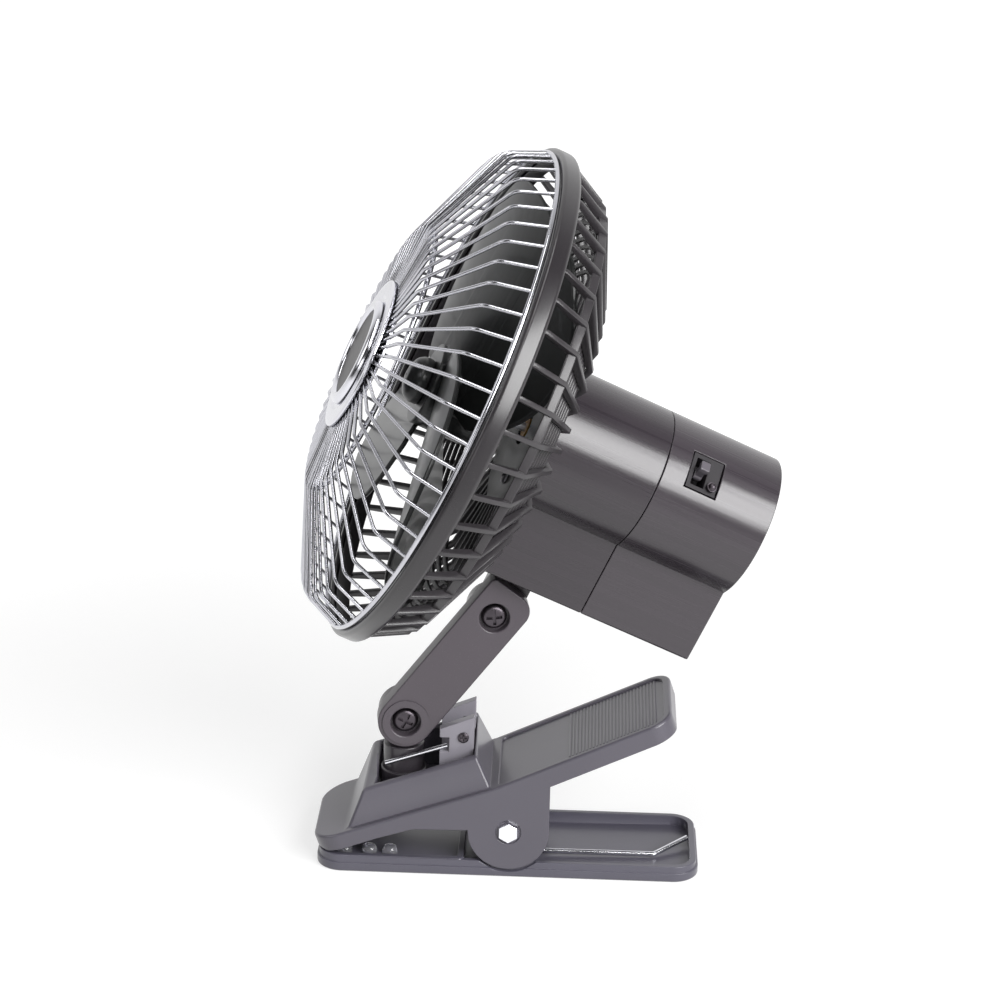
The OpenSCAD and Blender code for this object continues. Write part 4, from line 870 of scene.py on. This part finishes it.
disc_dark = moulded("disc_dark", shade(40, 36, 39), roughness=0.34, change=0.3, clouds=90, grain=1500, bump=0.08,
                    turn=head_inverse, specular=0.3)
disc_mesh = turned(rounded_corners([
    (0, badge_face), (disc_r, badge_face), (disc_r, badge_face + 0.9), (disc_r - 1.1, badge_face + 1.1),
    (disc_r - 1.9, badge_face + disc_h), (0, badge_face + disc_h)], radius=0.15, steps=3, closed=False),
    steps=128, closed=False)
skin("badge_disc", disc_mesh, disc_dark, "head", "dark_plastic", on_head)
back_mesh = turned(rounded_corners([(0, back_low), (badge_r, back_low), (badge_r, back_top), (0, back_top)],
                                   radius=0.25, steps=3, closed=False), steps=128, closed=False)
skin("badge_back", back_mesh, badge_chrome, "head", "chrome", on_head)

# ---------- Fan blade and spinner ----------
# Three cambered blades moulded with their hub in smooth near-black plastic, and the domed cap that holds
# them on the shaft.

blade_plastic = moulded("blade_plastic", shade(32, 33, 33), roughness=0.3, change=0.25, gloss_change=0.06, clouds=40,
                        grain=1600, bump=0.03, coat=0.12, coat_roughness=0.05, turn=head_inverse, specular=0.3)
softened("fan_blade", blade_plastic, "fan", "blade_plastic", radius=0.0004, thin=0.0005, turn_from=40, inward=0.05)
shaft_hole, cap_low, cap_r, cap_top, hole_top = 1.62, 9.05, 8, 16.05, 13.5
cap_mesh = turned(rounded_corners([
    (shaft_hole, cap_low), (cap_r, cap_low), (cap_r, 12.2), (6.6, 14.4), (3.6, 15.8), (0, cap_top), (0, hole_top),
    (shaft_hole, hole_top)], radius=0.9, closed=False), steps=64, closed=False)
skin("spinner", cap_mesh, blade_plastic, "fan", "blade_plastic", on_head)

# ---------- Motor ----------
# A plain brushed motor inside the front shell: drawn can, magnets, end cap, bushes, armature, shaft, its
# rubber cushions and three screws. None of it shows from outside.

drawn_steel = metal("drawn_steel", shade(172, 173, 178), roughness=0.32, grain=400, turn=head_inverse, stretch=streak,
                    change=0.3)
ferrite = moulded("ferrite", shade(52, 52, 55), roughness=0.7, change=0.4, clouds=200, grain=1500, bump=0.3)
cap_nylon = moulded("cap_nylon", shade(222, 220, 212), roughness=0.5, change=0.12, clouds=80, grain=1800, bump=0.1)
sintered = metal("sintered_bronze", shade(180, 142, 86), roughness=0.45, grain=1800, bump=0.25)
windings = metal("windings", shade(158, 92, 52), roughness=0.35, grain=700, turn=head_inverse, stretch=(1, 1, 6),
                 bump=0.5)
copper = metal("copper", shade(190, 122, 72), roughness=0.28, grain=900)
cushion_rubber = moulded("cushion_rubber", shade(40, 40, 42), roughness=0.8, change=0.3, clouds=100, grain=1500,
                         bump=0.3)
for node, material in {
        "motor_can": drawn_steel, "motor_magnets": ferrite, "motor_end_cap": cap_nylon, "front_bush": sintered,
        "rear_bush": sintered, "motor_shaft": polished_steel, "rotor": windings, "commutator": copper,
        "motor_cushions": cushion_rubber, "motor_screws": zinc_steel}.items():
    coated(node, material)

# ---------- Battery and electrics ----------
# The sleeved cell in the battery box with its contacts, the small control board and the charging
# socket in the rear wall.

cell_sleeve = moulded("cell_sleeve", shade(58, 104, 160), roughness=0.25, change=0.15, clouds=60, grain=1500,
                      bump=0.05, coat=0.5, turn=head_inverse)
contact_brass = metal("contact_brass", shade(206, 176, 104), roughness=0.25, grain=700)
board_green = moulded("board_green", shade(40, 104, 62), roughness=0.4, change=0.35, clouds=300, grain=1200,
                      bump=0.15)
socket_plastic = moulded("socket_plastic", shade(34, 33, 35), roughness=0.45, change=0.25, clouds=150, grain=2200)
for node, material in {"battery_cell": cell_sleeve, "battery_contacts": contact_brass,
                       "control_board": board_green, "charge_socket": socket_plastic}.items():
    coated(node, material)

# ---------- Switch ----------
# The dark case set in the rear shell's side, its small collar and the grey rocking lever.

# The case's near-black is partly its own dark plastic and partly painted shade for the hollow it is set in.
switch_plastic = moulded("switch_plastic", shade(36, 33, 37), roughness=0.5, change=0.3, clouds=140, grain=2400,
                         specular=0.3)
lever_plastic = moulded("lever_plastic", shade(92, 88, 94), roughness=0.3, change=0.2, clouds=140, grain=2400,
                        coat=0.3)
softened("switch_body", switch_plastic, "head", "dark_plastic", radius=0.00025, thin=0.0006)
coated("switch_collar", dark_screw)
softened("switch_lever", lever_plastic, "lever", "white_plastic", radius=0.00025, thin=0.0005)
